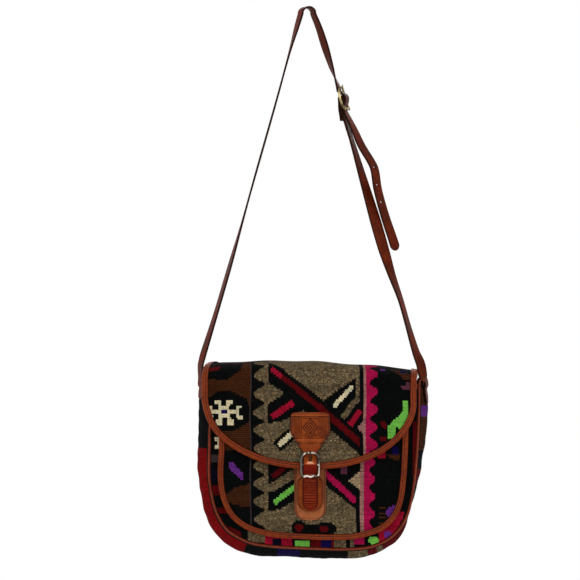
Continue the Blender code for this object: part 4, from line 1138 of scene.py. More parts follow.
class Buckle:
    """Where leather runs in a centre-bar buckle. Its frame: x across, z along the strap, -y out."""

    def __init__(self, strap_width, chape_thickness, strap_thickness, bed=lambda run, low: low):
        self.bed = bed
        self.waist = strap_width * BUCKLE_WAIST
        self.chape = chape_thickness
        self.strap = strap_thickness
        self.behind = WIRE + GAP + strap_thickness / 2
        self.loop = WIRE + GAP + chape_thickness / 2
        self.over = WIRE + GAP + chape_thickness + GAP + strap_thickness / 2
        self.sleeve = WIRE + GAP + SLEEVE_WALL
        self.slot = PRONG_WIDTH + 2 * SLOT_PLAY
        self.apart = chape_thickness / 2 + GAP + strap_thickness / 2
        self.through = mix(BUCKLE_SHOULDER, BUCKLE_TOP, 0.5)

    def leaf(self, run):
        """Depth of the chape's front leaf at run below the bar."""
        low = self.behind - BUCKLE_BOW + self.apart + GAP
        if run <= BUCKLE_BOTTOM:
            return float(mix(-self.loop, low, ramp(run, 0.0, BUCKLE_BOTTOM)))
        landed = ramp(run, BUCKLE_BOTTOM, HOLDER_LAND)
        return float(mix(low, self.bed(run, low), landed))

    def beside(self, run, distance):
        """A place at a distance out from the front leaf's middle line."""
        step = 0.0003
        slope = (self.leaf(run + step) - self.leaf(run - step)) / (2 * step)
        size = math.hypot(1.0, slope)
        return self.leaf(run) - distance / size, -run - distance * slope / size

    def strap_stations(self):
        """The strap's middle line from above the top bar to the bottom bar."""
        distance = math.hypot(self.behind, self.through)
        turn = math.atan2(self.through, -self.behind) - math.acos(self.over / distance)
        behind = (self.behind, self.through)
        bend = [(-math.cos(turn * share) * self.over, math.sin(turn * share) * self.over)
                for share in (1.0, 0.75, 0.5, 0.25, 0.0)]
        between = (behind[0] + bend[0][0]) / 2, (behind[1] + bend[0][1]) / 2
        found = [(self.behind, BUCKLE_TOP), behind, between] + bend
        found += [self.beside(BUCKLE_BOTTOM * share, self.apart) for share in (0.22, 0.45, 0.7, 1.0)]
        return found

    def chape_stations(self):
        """Front leaf from below, round the bar, and the back leaf down again."""
        low = self.leaf(BUCKLE_BOTTOM)
        pitch = self.chape + GAP
        shares = (1.0, 0.75, 0.5, 0.25)
        front = [(self.leaf(BUCKLE_BOTTOM * share), -BUCKLE_BOTTOM * share) for share in shares]
        back = [(float(mix(self.loop, low + pitch, ease(share))), -BUCKLE_BOTTOM * share)
                for share in reversed(shares)]
        turn = [(-math.cos(math.radians(a)) * self.loop, math.sin(math.radians(a)) * self.loop)
                for a in range(0, 181, 18)]
        return front + turn + back

    def hole_tool(self, matrix):
        """The long hole in the strap that the prong goes through."""
        _, behind, middle, leave = self.strap_stations()[:4]
        lean = math.atan2(behind[0] - leave[0], behind[1] - leave[1])
        place = Matrix.Translation((0, middle[0], middle[1])) @ Matrix.Rotation(-lean, 4, "X")
        return box_tool((self.slot, 4 * self.strap, PRONG_HOLE_LENGTH), matrix @ place)

    def slot_tool(self, matrix):
        height = 2 * (self.sleeve + self.chape)
        rise = Matrix.Translation((0, 0, height * SLOT_RISE))
        return box_tool((self.slot, 4 * self.over, height), matrix @ rise)


def rounded_width(width, run, reach, radius):
    left = reach - run
    if left >= radius:
        return width
    cut_in = radius - math.sqrt(max(radius ** 2 - (radius - left) ** 2, 0.0))
    return max(width - 2 * cut_in, width * 0.12)


def finer(stations, pitch, per_span=6):
    """Stations at an even pitch. Each is place, width direction, width, thickness and mark."""
    rows = smooth_path(stations, per_span)
    run = run_along([row[0] for row in rows])
    count = max(int(run[-1] / pitch), 4)
    values = at_run(rows, run, np.linspace(0, run[-1], count + 1))
    return [(Vector(v[:3]), Vector(v[3:6]), *v[6:]) for v in values]


# Marks say where a strip is: metres from the tab's top, then BAR_MARK over the bar, and RIB_MARK
# plus metres below it on the strap's end
BAR_MARK = 0.8
RIB_MARK = 1.0

# Painted shade in a pressed line and painted highlight on a ridge: how much darker and paler, for each metre
# of height
PRESSED_DARK = 2600
RAISED_PALE = 1500
RIB_PALE = 450.0
RUBBED_EDGE = 0.0016


def leather_strip(name, stations, finish, relief, columns, face=1, tone=lambda mark, x: 0.0, bag=True):
    """A strip with burnished, rounded edges. relief(x, mark, half) raises its grain side."""
    sections, rims, ridges, tones = [], [], [], []
    for (point, across, width, thickness, mark), along in zip(stations, tangents([s[0] for s in stations])):
        across = (across - along * across.dot(along)).normalized()
        out = along.cross(across) * face
        half, deep = width / 2, thickness / 2
        corner = min(deep * 0.9, half * 0.5)
        flat = half - corner
        pale = RAISED_PALE if mark < RIB_MARK else RIB_PALE
        rows = []
        for share in steps(columns):
            x = flat * (2 * share - 1)
            height = relief(x, mark, half)
            # Edges darker where rubbed; pressed lines get painted shade and raised ridges a painted highlight
            wear_and_highlight = max(0.0, (abs(x) - half + RUBBED_EDGE) / RUBBED_EDGE) * 0.7
            rows.append((x, deep + height, max(wear_and_highlight, min(-height * PRESSED_DARK, 1.0)),
                         min(max(height, 0.0) * pale, 1.0)))
        edges = [[(side * flat + corner * math.cos(a), deep * math.sin(a), 1.0, 0.0)
                  for a in map(math.radians, angles)]
                 for side, angles in ((1, (60, 30, 0, -30, -60)), (-1, (-120, -150, 180, 150, 120)))]
        rows += edges[0] + [(flat * (1 - k / 2), -deep, 0.3, 0.0) for k in range(5)] + edges[1]
        sections.append([point + across * x + out * y for x, y, _, _ in rows])
        rims += [row[2] for row in rows]
        ridges += [row[3] for row in rows]
        tones += [tone(mark, row[0]) for row in rows]
    return facing_out(new_piece(name, *swept(sections), finish, bag=bag, rim=rims, worn=ridges, tone=tones))


def groove(distance, width, depth):
    """A pressed line: how deep it is at a distance from its middle."""
    return -depth * math.exp(-(distance / width) ** 2)


def edge_line(inset, width, depth):
    """The relief of a strip with one pressed line along each edge."""
    return lambda x, mark, half: groove(half - abs(x) - inset, width, depth)


def tab_width(run):
    corner = 0.005
    if run < corner:
        return 2 * (TAB_HALF_WIDTH - corner + math.sqrt(corner ** 2 - (corner - run) ** 2))
    share = min(max((run - TAB_SHOULDER) / (TAB_NECK - TAB_SHOULDER), 0.0), 1.0)
    return mix(2 * TAB_HALF_WIDTH, CLOSURE_STRAP_WIDTH, share)


VALLEY = 0.0003
PANEL_TOP = 0.0052
PANEL_LOW = 0.0315
PANEL_MIDDLE = 0.0183
PANEL_HALF = 0.0205
DIAMOND = 0.0090
HATCH_FROM = 0.0118
HATCH_PITCH = 0.0027


def tooling(x, mark, half):
    """Pressed lines of the tab: a border, two ridges, nested diamonds and hatched corners."""
    if mark < 0.06:
        height = groove(half - abs(x) - 0.0022, 0.0007, 0.00036)
        for ridge in (0.0034, PANEL_LOW + 0.0012, PANEL_LOW + 0.0042):
            height += 0.00045 * math.exp(-((mark - ridge) / 0.0007) ** 2)
            height += groove(mark - ridge - 0.0015, 0.0006, 0.00034)
        if PANEL_TOP < mark < PANEL_LOW and abs(x) < PANEL_HALF:
            ring = abs(x) / DIAMOND + abs(mark - PANEL_MIDDLE) / (DIAMOND * 1.15)
            for level in (1.0, 0.62, 0.24):
                height += groove((ring - level) * DIAMOND * 0.7, 0.0006, 0.00042)
            if abs(x) > HATCH_FROM:
                slant = (abs(x) + mark) % HATCH_PITCH - HATCH_PITCH / 2
                height += groove(slant, 0.00058, 0.0004)
            elif ring > 1.18:
                height += groove((abs(x) - HATCH_FROM + 0.0012), 0.0005, 0.00034)
            for line in (PANEL_TOP + 0.0020, PANEL_LOW - 0.0026):
                if abs(x) < HATCH_FROM - 0.0024:
                    height += groove(mark - line, 0.00055, 0.00038)
        return height
    if mark < RIB_MARK:
        return 0.0
    run = mark - RIB_MARK
    height = groove(half - abs(x) - 0.0014, 0.0004, 0.00022)
    end = CLOSURE_STRAP_REACH - 0.003
    start = end - RIBS * RIB_PITCH
    if start < run < end and abs(x) < half - 0.0022:
        wave = 0.5 - 0.5 * math.cos(2 * math.pi * (run - start) / RIB_PITCH)
        height += RIB_HEIGHT * wave - VALLEY * (1 - wave) ** 2
    return height


# The marks over which the strap's darker red lower end begins; where it turns down under the bar this is
# painted shade
DARK_END_RAMP = (0.76, 0.80)

# The painted highlight on the bend above the bar: the mark where it is widest, its soft lower end and its
# height in marks, its half width, how strong it is and how sharp its outline is
CAP_FOOT = 0.79
CAP_END = 0.01
CAP_RISE = 0.155
CAP_HALF = 0.0092
CAP_HIGHLIGHT = 1.75
CAP_SHARPNESS = 1.7


def tab_tone(mark, x):
    """1 on the strap's darker red lower end, partly painted shade; below 0 a painted highlight on the bend,
    palest below -1.
    """
    darker_end = float(ramp(mark, *DARK_END_RAMP))
    cap = float(ease((1 - (CAP_FOOT - mark) / CAP_RISE - abs(x) / CAP_HALF) * CAP_SHARPNESS))
    return darker_end - CAP_HIGHLIGHT * cap * float(ease((BAR_MARK - mark) / CAP_END))


# Insets of the seams of patch and tab, and how deep their thread's middle lies
PATCH_SEAM = 0.0022
TAB_SEAM = 0.0020
THREAD_SUNK = 0.00012

# Distances between the rings of points of patch and holder, of the tab and of the straps
PLATE_PITCH = 0.0009
TAB_PITCH = 0.00045
STRAP_PITCH = 0.0014

# Length in which the holder's folded leaf ends, and the plate's end above the buckle
TUCK = 0.012
PLATE_CLEAR = 0.009


def closure_leather(tab_finish, patch_finish, thread):
    pocket_face = FRONT_Y - POCKET_Y - KILIM / 2
    flap_face = FRONT_Y - FLAP_Y - KILIM / 2

    def swell(z):
        return float(dome(BODY_X, z - CLOSURE_DROP))

    bar_y = flap_face - swell(0) - BINDING_PLAY - BINDING - 3 * GAP - PATCH - GAP - WIRE

    def patch_y(run, thickness):
        """Depth at a thickness out from the pocket, at run below the bar."""
        return pocket_face - swell(-run) - GAP - thickness - bar_y

    def bed(run, low):
        tucked = float(ease((HOLDER_FOLD + TUCK - run) / TUCK))
        return patch_y(run, PATCH) - 1.5 * GAP - PATCH / 2 - (PATCH + GAP) * tucked

    buckle = Buckle(CLOSURE_STRAP_WIDTH, PATCH, STRAP, bed)
    base = Matrix.Translation((CLOSURE_X, bar_y, -CLOSURE_DROP)) @ Matrix.Rotation(-BAG_LEAN, 4, "Y")
    across = base.to_3x3() @ Vector((1, 0, 0))

    def strip(name, node, slot, path, pitch, finish, relief, columns, tools=(), **more):
        stations = [(base @ Vector((0, y, z)), across, w, t, m) for y, z, w, t, m in path]
        made = leather_strip(name, finer(stations, pitch), finish, relief, columns, **more)
        if tools:
            cut(made, tools)
        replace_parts(made, node)
        return made

    def sewn(name, line):
        """Stitches down one side and up the other, from the (x, y, z) of one side."""
        spots = [base @ Vector(spot) for spot in line]
        front = base.to_3x3() @ FRONT_WAY
        return stitches(name, spots, [front] * len(spots), thread, 0.0030, 0.0020, 0.00046)

    def patch_width(run):
        return rounded_width(PATCH_WIDTH, run, PATCH_REACH, PATCH_WIDTH / 2.6)

    runs = [mix(-PATCH_RISE, PATCH_REACH, 1 - (1 - t) ** 1.6) for t in steps(30)]
    path = [(patch_y(run, PATCH / 2), -run, patch_width(run), PATCH, run) for run in runs]
    patch = strip("patch_of_pocket", "pocket_patch", "patch_leather", path, PLATE_PITCH, patch_finish,
                  edge_line(0.0022, 0.0005, 0.0003), 26)
    side = [(patch_width(run) / 2 - PATCH_SEAM, patch_y(run, PATCH) + THREAD_SUNK, -run)
            for run in np.linspace(-PATCH_RISE + 0.002, PATCH_REACH - 0.0024, 60)]
    patch_thread = sewn("patch_stitches", [(-x, y, z) for x, y, z in side] + side[::-1])

    def widening(wide, run):
        return float(mix(buckle.waist, wide, ease((run - BUCKLE_BOTTOM) / BUCKLE_TAPER)))

    path = []
    for t in steps(14)[:-1]:
        run = mix(HOLDER_REACH, HOLDER_LAND, t ** 1.5)
        width = rounded_width(HOLDER_WIDTH, run, HOLDER_REACH, HOLDER_WIDTH / 2.4)
        path.append((buckle.leaf(run), -run, width))
    shares = (0.25, 0.5, 0.75, 1.0)
    for run in [mix(BUCKLE_BOTTOM, HOLDER_LAND, share) for share in reversed(shares)]:
        path.append((buckle.leaf(run), -run, widening(HOLDER_WIDTH, run)))
    path += [(y, z, buckle.waist) for y, z in buckle.chape_stations()]
    for run in [mix(BUCKLE_BOTTOM, HOLDER_LAND, share) for share in shares] + [HOLDER_FOLD - 0.001]:
        path.append((*buckle.beside(run, -PATCH - GAP), buckle.waist))
    holder = strip("holder_of_buckle", "buckle_holder", "tab_leather",
                   [(y, z, w, PATCH, 0.0) for y, z, w in path], PLATE_PITCH, tab_finish,
                   edge_line(0.0019, 0.0005, 0.0003), 20, [buckle.slot_tool(BAG @ base)], face=-1)

    top = CLOSURE_DROP - TAB_TOP
    last_plate = top - BUCKLE_TOP - PLATE_CLEAR

    def tab_y(run, thickness):
        return flap_face - swell(top - run) - GAP - thickness - bar_y

    path = [(tab_y(run, STRAP / 2), top - run, tab_width(run), STRAP, run) for run in
            (0.0, 0.0006, 0.0012, 0.002, 0.003, 0.004, 0.005, 0.012, TAB_SHOULDER, last_plate)]
    for y, z in buckle.strap_stations():
        path.append((y, z, buckle.waist, STRAP, mix(BAR_MARK, 0.5, max(z, 0.0) / BUCKLE_TOP)))
    for run in [mix(BUCKLE_BOTTOM, CLOSURE_STRAP_REACH, t) for t in np.linspace(0.05, 1, 60) ** 0.9]:
        width = rounded_width(widening(CLOSURE_STRAP_WIDTH, run), run, CLOSURE_STRAP_REACH,
                              CLOSURE_STRAP_WIDTH / 2.1)
        path.append((*buckle.beside(run, buckle.apart), width, STRAP, RIB_MARK + run))
    tab = strip("tab_of_flap", "flap_tab", "tab_leather", path, TAB_PITCH, tab_finish, tooling, 96,
                [buckle.hole_tool(BAG @ base)], tone=tab_tone)
    side = [(tab_width(run) / 2 - TAB_SEAM, tab_y(run, STRAP) + THREAD_SUNK, top - run)
            for run in np.linspace(0.0022, last_plate, 50)]
    tab_thread = sewn("tab_stitches", [(-x, y, z) for x, y, z in reversed(side)] + side)
    return [patch, holder, tab, patch_thread, tab_thread]


# Shoulder strap: stations of x, drop, twist and depth
RISING = ((-0.1303, 0.4385, 25, -0.0145), (-0.1287, 0.4311, 27, -0.013), (-0.1257, 0.4200, 28, -0.011),
          (-0.1113, 0.3733, 19, -0.007), (-0.0941, 0.3143, 16, -0.006), (-0.0815, 0.2700, 5, -0.004),
          (-0.0652, 0.2109, 0, -0.002), (-0.0394, 0.1199, 0, 0), (-0.0220, 0.0560, 4, 0),
          (-0.0129, 0.0240, 20, 0))
FALLING = ((0.0148, 0.0240, 28, 0), (0.0225, 0.0480, 32, 0), (0.0306, 0.0740, 15, 0))
TAIL = ((0.0576, 0.1478, -30, 0), (0.0668, 0.1684, -40, 0), (0.0791, 0.1888, -42, 0),
        (0.0836, 0.2002, -43, 0), (0.0871, 0.2230, -43, 0), (0.0951, 0.2526, -46, 0),
        (0.1042, 0.2800, -50, 0), (0.1076, 0.2905, -52, 0))
CLIMBING = ((0.1396, 0.4385, -50, -0.0155), (0.1366, 0.4300, -48, -0.0138),
            (0.1324, 0.4190, -36, -0.011), (0.1234, 0.3880, -25, -0.007),
            (0.1150, 0.3585, -25, -0.006), (0.1045, 0.3290, -38, -0.005),
            (0.0950, 0.2990, -62, -0.004), (0.0866, 0.2700, -68, -0.003),
            (0.0781, 0.2405, -55, -0.002), (0.0694, 0.2109, -40, -0.001),
            (0.0608, 0.1814, -27, 0), (0.0541, 0.1590, -19, 0))
SEWN_CLEAR = 0.001
SEWN_PLAY = 0.0002
TURNED_IN = 0.0062


def strands(rows):
    """Stations of full width. The width direction is turned from the depth axis by the twist."""
    found = []
    for x, drop, twist, depth in rows:
        angle = math.radians(twist)
        found.append((Vector((x, depth, -drop)), Vector((math.sin(angle), -math.cos(angle), 0)), STRAP_WIDTH))
    return found


def sewn_end(side):
    """Stations of the strap's sewn end, which follows the draped bag. The right one turns."""
    y = STRAP_END_SHIFT
    bulge = BULGES[0][1] if side < 0 else BULGES[-1][1]
    across = Vector((side * 2 * bulge * y / HALF_DEPTH ** 2, -1, 0)).normalized()
    top = MOUTH_DROP + LEAF_MOUTH + SEWN_CLEAR
    low = top + STRAP_SEWN
    seam_length = run_along(resample(SEAM, 0.001))[-1]
    step_out = BINDING + GAP + SEWN_PLAY
    runs = [(low - rise, 0.0, 0.0) for rise in (0.0, 0.0008, 0.0015, 0.0026, 0.004, 0.0056, 0.008)]
    runs += [(mix(low, top, 0.6), 0.0, 0.0), (top + 0.003, 0.0, 0.0), (top - SEWN_CLEAR, step_out, 0.05),
             (MOUTH_DROP, step_out, 0.15), (MOUTH_DROP - LEAF_MOUTH, step_out, 0.75)]
    found = []
    for down, extra, turn in runs:
        share = (down - MOUTH_DROP) / seam_length
        swell = bulge_at(share if side < 0 else 1 - share) * crown(y)
        turn *= side > 0
        out = GAP + STRAP / 2 + extra + SEWN_PLAY - TURNED_IN * turn
        place = BODY_X + side * (BODY_HALF_WIDTH + swell + KILIM / 2 + out), y, -down
        width = rounded_width(STRAP_WIDTH, down, low, STRAP_WIDTH / 2.1)
        turned = (across - Vector((turn, 0, 0))).normalized()
        found.append((Vector(to_world(drape([place]))[0]), BAG.to_3x3() @ turned, width))
    return found


def shoulder_straps(finish):
    buckle = Buckle(STRAP_WIDTH, STRAP, STRAP)
    turn = Matrix.Rotation(STRAP_BUCKLE_LEAN, 4, "Y") @ Matrix.Rotation(STRAP_BUCKLE_TURN, 4, "Z")
    base = Matrix.Translation((STRAP_BUCKLE_X, 0, -STRAP_BUCKLE_DROP)) @ turn

    def in_frame(places):
        across = base.to_3x3() @ Vector((-1, 0, 0))
        return [(base @ Vector((0, y, z)), across, buckle.waist) for y, z in places]

    radius = PEG_RADIUS + STRAP / 2
    bend = tuple((radius * math.cos(a), PEG_RADIUS - radius * math.sin(a), 24, 0)
                 for a in map(math.radians, (185, 150, 110, 70, 30, -5)))
    past = [buckle.beside(BUCKLE_BOTTOM, buckle.apart + GAP / 2),
            buckle.beside(BUCKLE_BOTTOM + 0.0035, buckle.apart + 1.5 * GAP)]
    route = smooth_path(sewn_end(-1) + strands(RISING + bend + FALLING), 6)
    route += in_frame(buckle.strap_stations())
    route += smooth_path(in_frame(past) + strands(TAIL), 6)[1:]
    point, across, _ = route[-1]
    along = (point - route[-2][0]).normalized()
    for share in (0.2, 0.4, 0.6, 0.75, 0.88, 0.96, 1.0):
        run = share * STRAP_WIDTH / 2
        route.append((point + along * run, across,
                      rounded_width(STRAP_WIDTH, run, STRAP_WIDTH / 2, STRAP_WIDTH / 2)))
    low = BUCKLE_BOTTOM + 0.005
    chape = in_frame([(buckle.leaf(low), -low)] + buckle.chape_stations()
                     + [buckle.beside(run, -STRAP - GAP) for run in (low, CHAPE_FOLD)])
    short_route = smooth_path(sewn_end(1) + strands(CLIMBING), 6)[:-1] + chape
    return [strap_piece("strap_over_the_peg", "strap_long", route, -1, finish,
                        [buckle.hole_tool(base)] + tail_tools(route)),
            strap_piece("strap_to_the_buckle", "strap_short", short_route, 1, finish,
                        [buckle.slot_tool(base)])]


def strap_piece(name, node, route, face, finish, tools):
    stations = finer([(point, across, width, STRAP, 0.0) for point, across, width in route], STRAP_PITCH, 1)
    made = leather_strip(name, stations, finish, edge_line(0.0017, 0.0004, 0.0002), 16, face, bag=False)
    cut(made, tools)
    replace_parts(made, node)
    return made


def tail_tools(route):
    """Tools for the spare adjusting holes, spaced up the tail from its tip."""
    spots = route[::-1]
    run = 0.0
    made = []
    for here, there in zip(spots[7:], spots[8:]):
        step = there[0] - here[0]
        while len(made) < HOLES_BELOW and run + step.length >= HOLE_FIRST + len(made) * HOLE_PITCH:
            place = here[0] + step.normalized() * (HOLE_FIRST + len(made) * HOLE_PITCH - run)
            turn = step.cross(here[1]).normalized().to_track_quat("Z", "X").to_matrix().to_4x4()
            made.append(shaped("tool", bmesh.ops.create_cone, cap_ends=True, segments=24, radius1=HOLE_RADIUS,
                               radius2=HOLE_RADIUS, depth=4 * STRAP, matrix=Matrix.Translation(place) @ turn))
        run += step.length
    return made


# Materials

def srgb(r, g, b):
    return (*linear((r, g, b)), 1.0)


class Finish:
    """Small helper that adds and joins shader nodes."""

    def __init__(self, name):
        self.material = bpy.data.materials.new(name)
        self.material.use_nodes = True
        self.tree = self.material.node_tree
        self.shader = self.tree.nodes["Principled BSDF"]
        self.place = self.add("ShaderNodeNewGeometry").outputs["Position"]

    def add(self, kind, **settings):
        node = self.tree.nodes.new(kind)
        for key, value in settings.items():
            setattr(node, key, value)
        return node

    def join(self, source, target):
        self.tree.links.new(source, target)

    def feed(self, node, *values):
        """Gives inputs, each named by its number or name, a fixed value or another node's output."""
        for key, value in values:
            if isinstance(value, bpy.types.NodeSocket):
                self.join(value, node.inputs[key])
            else:
                node.inputs[key].default_value = value

    def noise(self, scale, detail=3.0, roughness=0.55):
        node = self.add("ShaderNodeTexNoise")
        self.feed(node, ("Scale", scale), ("Detail", detail), ("Roughness", roughness),
                  ("Vector", self.place))
        return node.outputs["Fac"]

    def axes(self, vector):
        node = self.add("ShaderNodeSeparateXYZ")
        self.join(vector, node.inputs[0])
        return node.outputs

    def math(self, operation, a, b=0.0):
        node = self.add("ShaderNodeMath", operation=operation)
        self.feed(node, (0, a), (1, b))
        return node.outputs[0]

    def ranged(self, value, low, high, start=0.0, end=1.0):
        node = self.add("ShaderNodeMapRange")
        self.feed(node, ("Value", value), ("From Min", low), ("From Max", high),
                  ("To Min", start), ("To Max", end))
        return node.outputs["Result"]

    def blend(self, factor, a, b, kind="MIX"):
        node = self.add("ShaderNodeMix", data_type="RGBA", blend_type=kind)
        self.feed(node, (0, factor), (6, a), (7, b))
        return node.outputs[2]

    def attribute(self, name, output="Fac"):
        return self.add("ShaderNodeAttribute", attribute_name=name).outputs[output]

    def colour(self, value):
        self.join(value, self.shader.inputs["Base Color"])

    def rough(self, value):
        self.join(value, self.shader.inputs["Roughness"])

    def bump(self, height, distance, strength=1.0, under=None):
        node = self.add("ShaderNodeBump")
        self.feed(node, ("Distance", distance), ("Strength", strength), ("Height", height))
        if under is not None:
            self.join(under, node.inputs["Normal"])
        self.join(node.outputs[0], self.shader.inputs["Normal"])
        return node.outputs[0]

    def set(self, **values):
        for key, value in values.items():
            self.shader.inputs[key.replace("_", " ")].default_value = value
        return self.material


def kilim_finish():
    """Wool yarns over hidden warps: ridges along the warps, rows of wefts and loose fibres."""
    f = Finish("kilim_wool")
    fibres = f.noise(1500, 4)
    cloudy = f.noise(42, 3)
    level = f.math("MULTIPLY", f.ranged(fibres, 0.3, 0.7, 0.74, 1.26), f.ranged(cloudy, 0.3, 0.7, 0.88, 1.12))
    grey = f.add("ShaderNodeCombineColor")
    f.feed(grey, (0, level), (1, level), (2, level))
    f.colour(f.blend(1.0, f.attribute("yarn", "Color"), grey.outputs[0], "MULTIPLY"))
    f.rough(f.ranged(fibres, 0.2, 0.8, 0.84, 0.98))
    cells = f.axes(f.add("ShaderNodeUVMap", uv_map="weave").outputs[0])
    across, lines = (f.math("ABSOLUTE", f.math("SINE", f.math("MULTIPLY", cells[axis], math.pi)))
                     for axis in ("X", "Y"))
    weave = f.math("MULTIPLY", f.ranged(across, 0, 1, 0.35, 1.0), f.ranged(lines, 0, 1, 0.2, 1.0))
    first = f.bump(weave, 0.0007, 0.9)
    f.bump(fibres, 0.0004, 0.5, under=first)
    return f.set(Sheen_Weight=0.006, Sheen_Roughness=0.6, Specular_IOR_Level=0.02)


# Leather: how dull it is, its pebbles for each metre, and the colour of its brightest painted highlight
LEATHER_ROUGH = 0.42
LEATHER_GRAIN = 760
HIGHLIGHT_COLOUR = srgb(222, 172, 138)


def leather_finish(name, light, dark, rim, tone=None):
    """Oiled leather: clouded colour, fine grain, rubbed edges, painted shade in pressed lines and painted
    highlights.

    The piece's notes say where: "rim" has the colour of the edges and the painted shade of pressed lines,
    "highlight" is a paler painted highlight, and "tone" has the two darker red colours above 0, partly
    painted shade, and a painted highlight below it.
    """
    f = Finish(name)
    clouds = f.noise(55, 4, 0.6)
    streaks = f.noise(260, 3)
    mixed = f.math("ADD", f.math("MULTIPLY", clouds, 0.65), f.math("MULTIPLY", streaks, 0.35))
    cloudy = f.ranged(mixed, 0.36, 0.64)
    # The darker red pair of colours for tone above 0: painted shade where the tab turns down under the bar
    darker_end = f.blend(cloudy, *(tone or (dark, light)))
    above = f.attribute("tone")
    below = f.math("MULTIPLY", above, -1.0)
    colour = f.blend(f.math("MAXIMUM", above, 0.0), f.blend(cloudy, dark, light), darker_end)
    # The pale colour is painted highlight: on ridges, on lines of bindings and piping, and on the tab's bend
    pale = tuple(min(1.0, 1.7 * c + 0.01) for c in light[:3]) + (1.0,)
    wear_and_highlight = f.math("MAXIMUM", f.attribute("worn"), below)
    colour = f.blend(f.math("MULTIPLY", wear_and_highlight, f.ranged(streaks, 0.3, 0.6, 0.45, 0.9)), colour, pale)
    # The brightest painted highlight, on the tab's bend over the bar
    brightest = f.math("MAXIMUM", f.math("SUBTRACT", below, 1.0), 0.0)
    colour = f.blend(brightest, colour, HIGHLIGHT_COLOUR)
    f.colour(f.blend(f.ranged(f.attribute("rim"), 0.15, 0.9), colour, rim))
    f.rough(f.ranged(mixed, 0.35, 0.65, LEATHER_ROUGH - 0.10, LEATHER_ROUGH + 0.12))
    cells = f.add("ShaderNodeTexVoronoi", feature="DISTANCE_TO_EDGE")
    f.feed(cells, ("Scale", LEATHER_GRAIN), ("Vector", f.place))
    pebbles = f.bump(f.ranged(cells.outputs["Distance"], 0.0, 0.25), 0.00016, 0.5)
    f.bump(f.noise(150, 5, 0.6), 0.0007, 0.35, under=pebbles)
    return f.set(Coat_Weight=0.03, Coat_Roughness=0.2, Specular_IOR_Level=0.035)


def cloth_finish():
    """Dark cotton lining in a fine twill."""
    f = Finish("lining_cotton")
    wave = f.add("ShaderNodeTexWave", wave_type="BANDS", bands_direction="DIAGONAL")
    f.feed(wave, ("Scale", 420), ("Distortion", 0.6), ("Vector", f.place))
    fibres = f.noise(1700, 3)
    f.colour(f.blend(f.ranged(fibres, 0.3, 0.7), srgb(44, 32, 26), srgb(70, 52, 42)))
    f.rough(f.ranged(fibres, 0.3, 0.7, 0.82, 0.96))
    f.bump(wave.outputs["Fac"], 0.0003, 0.7)
    return f.set(Specular_IOR_Level=0.1)


def thread_finish():
    f = Finish("waxed_thread")
    twist = f.noise(2600, 2)
    f.colour(f.blend(f.ranged(twist, 0.35, 0.65), srgb(38, 14, 8), srgb(84, 40, 20)))
    f.rough(f.ranged(twist, 0.3, 0.7, 0.5, 0.7))
    f.bump(twist, 0.0002, 0.5)
    return f.material


# Share of dark colour in the darkened places, and where they are: in each row, all ramps of a world axis from
# light to dark. The silver buckle's rows paint shade on its left side and its upper right
DARK_SHARE = 0.88
SILVER_PAINTED_SHADE = ((("X", -0.0030, -0.0052),),
                (("X", 0.0078, 0.0108), ("Z", -0.5600, -0.5560)))
# The brass is darker towards the top, by height
BRASS_DARKER_TOP = ((("Z", -0.1070, -0.1020),),)


def metal_finish(name, light, dark, rough, rows=()):
    """Plated wire, rubbed bright, with tarnish in patches, painted shade down its sides and darker places by
    rows.
    """
    f = Finish(name)
    tarnish_and_shade = f.ranged(f.noise(150, 4, 0.6), 0.42, 0.60)
    facing = f.axes(f.add("ShaderNodeNewGeometry").outputs["Normal"])
    # Painted shade down the wire's sides, set by which way they face
    sideways = f.ranged(f.math("ABSOLUTE", facing["X"]), 0.28, 0.76)
    tarnish_and_shade = f.math("MAXIMUM", tarnish_and_shade, f.math("MULTIPLY", sideways, DARK_SHARE))
    # Rows darken by place: painted shade on the silver buckle, a darker top on the brass one
    where = f.axes(f.place)
    for row in rows:
        share = DARK_SHARE
        for axis, light_at, dark_at in row:
            share = f.math("MULTIPLY", f.ranged(where[axis], light_at, dark_at), share)
        tarnish_and_shade = f.math("MAXIMUM", tarnish_and_shade, share)
    f.colour(f.blend(tarnish_and_shade, light, dark))
    f.rough(f.ranged(f.noise(500, 3), 0.3, 0.7, rough - 0.05, rough + 0.12))
    f.bump(f.noise(900, 3), 0.0001, 0.25)
    return f.set(Metallic=1.0)


def backdrop_finish(name, colour):
    """Plain matt card, very slightly clouded."""
    f = Finish(name)
    clouds = f.noise(3, 2)
    f.colour(f.blend(f.ranged(clouds, 0.2, 0.8), colour, tuple(0.97 * c for c in colour[:3]) + (1.0,)))
    return f.set(Roughness=0.9)


# Stage

LENS = 200.0
SENSOR = 36.0
FRAME_WIDTH = 0.7134
FLOOR_DROP = 0.90
FLOOR_RADIUS = 1.1
WORLD_STRENGTH = 0.62
LIT_MIDDLE = Vector((0.0, 0.0, -0.45))

# Name, place, side and power of each light
LIGHTS = (("key", (-0.7, -1.5, 0.55), 0.9, 10.0), ("fill", (1.1, -1.2, -0.2), 1.0, 4.0),
          ("back", (0.3, 1.4, 0.4), 1.0, 5.0))


def camera():
    data = bpy.data.cameras.new("camera")
    data.lens = LENS
    data.sensor_width = SENSOR
    made = put("camera", data)
    made.location = (VIEW_X, -FRAME_WIDTH * LENS / SENSOR, VIEW_Z)
    made.rotation_euler = (math.pi / 2, 0, 0)
    bpy.context.scene.camera = made


def area_light(name, place, side, power):
    data = bpy.data.lights.new(name, "AREA")
    data.shape = "RECTANGLE"
    data.size = data.size_y = side
    data.energy = power
    made = put(name, data)
    made.location = place
    made.rotation_euler = (LIT_MIDDLE - Vector(place)).to_track_quat("-Z", "Y").to_euler()


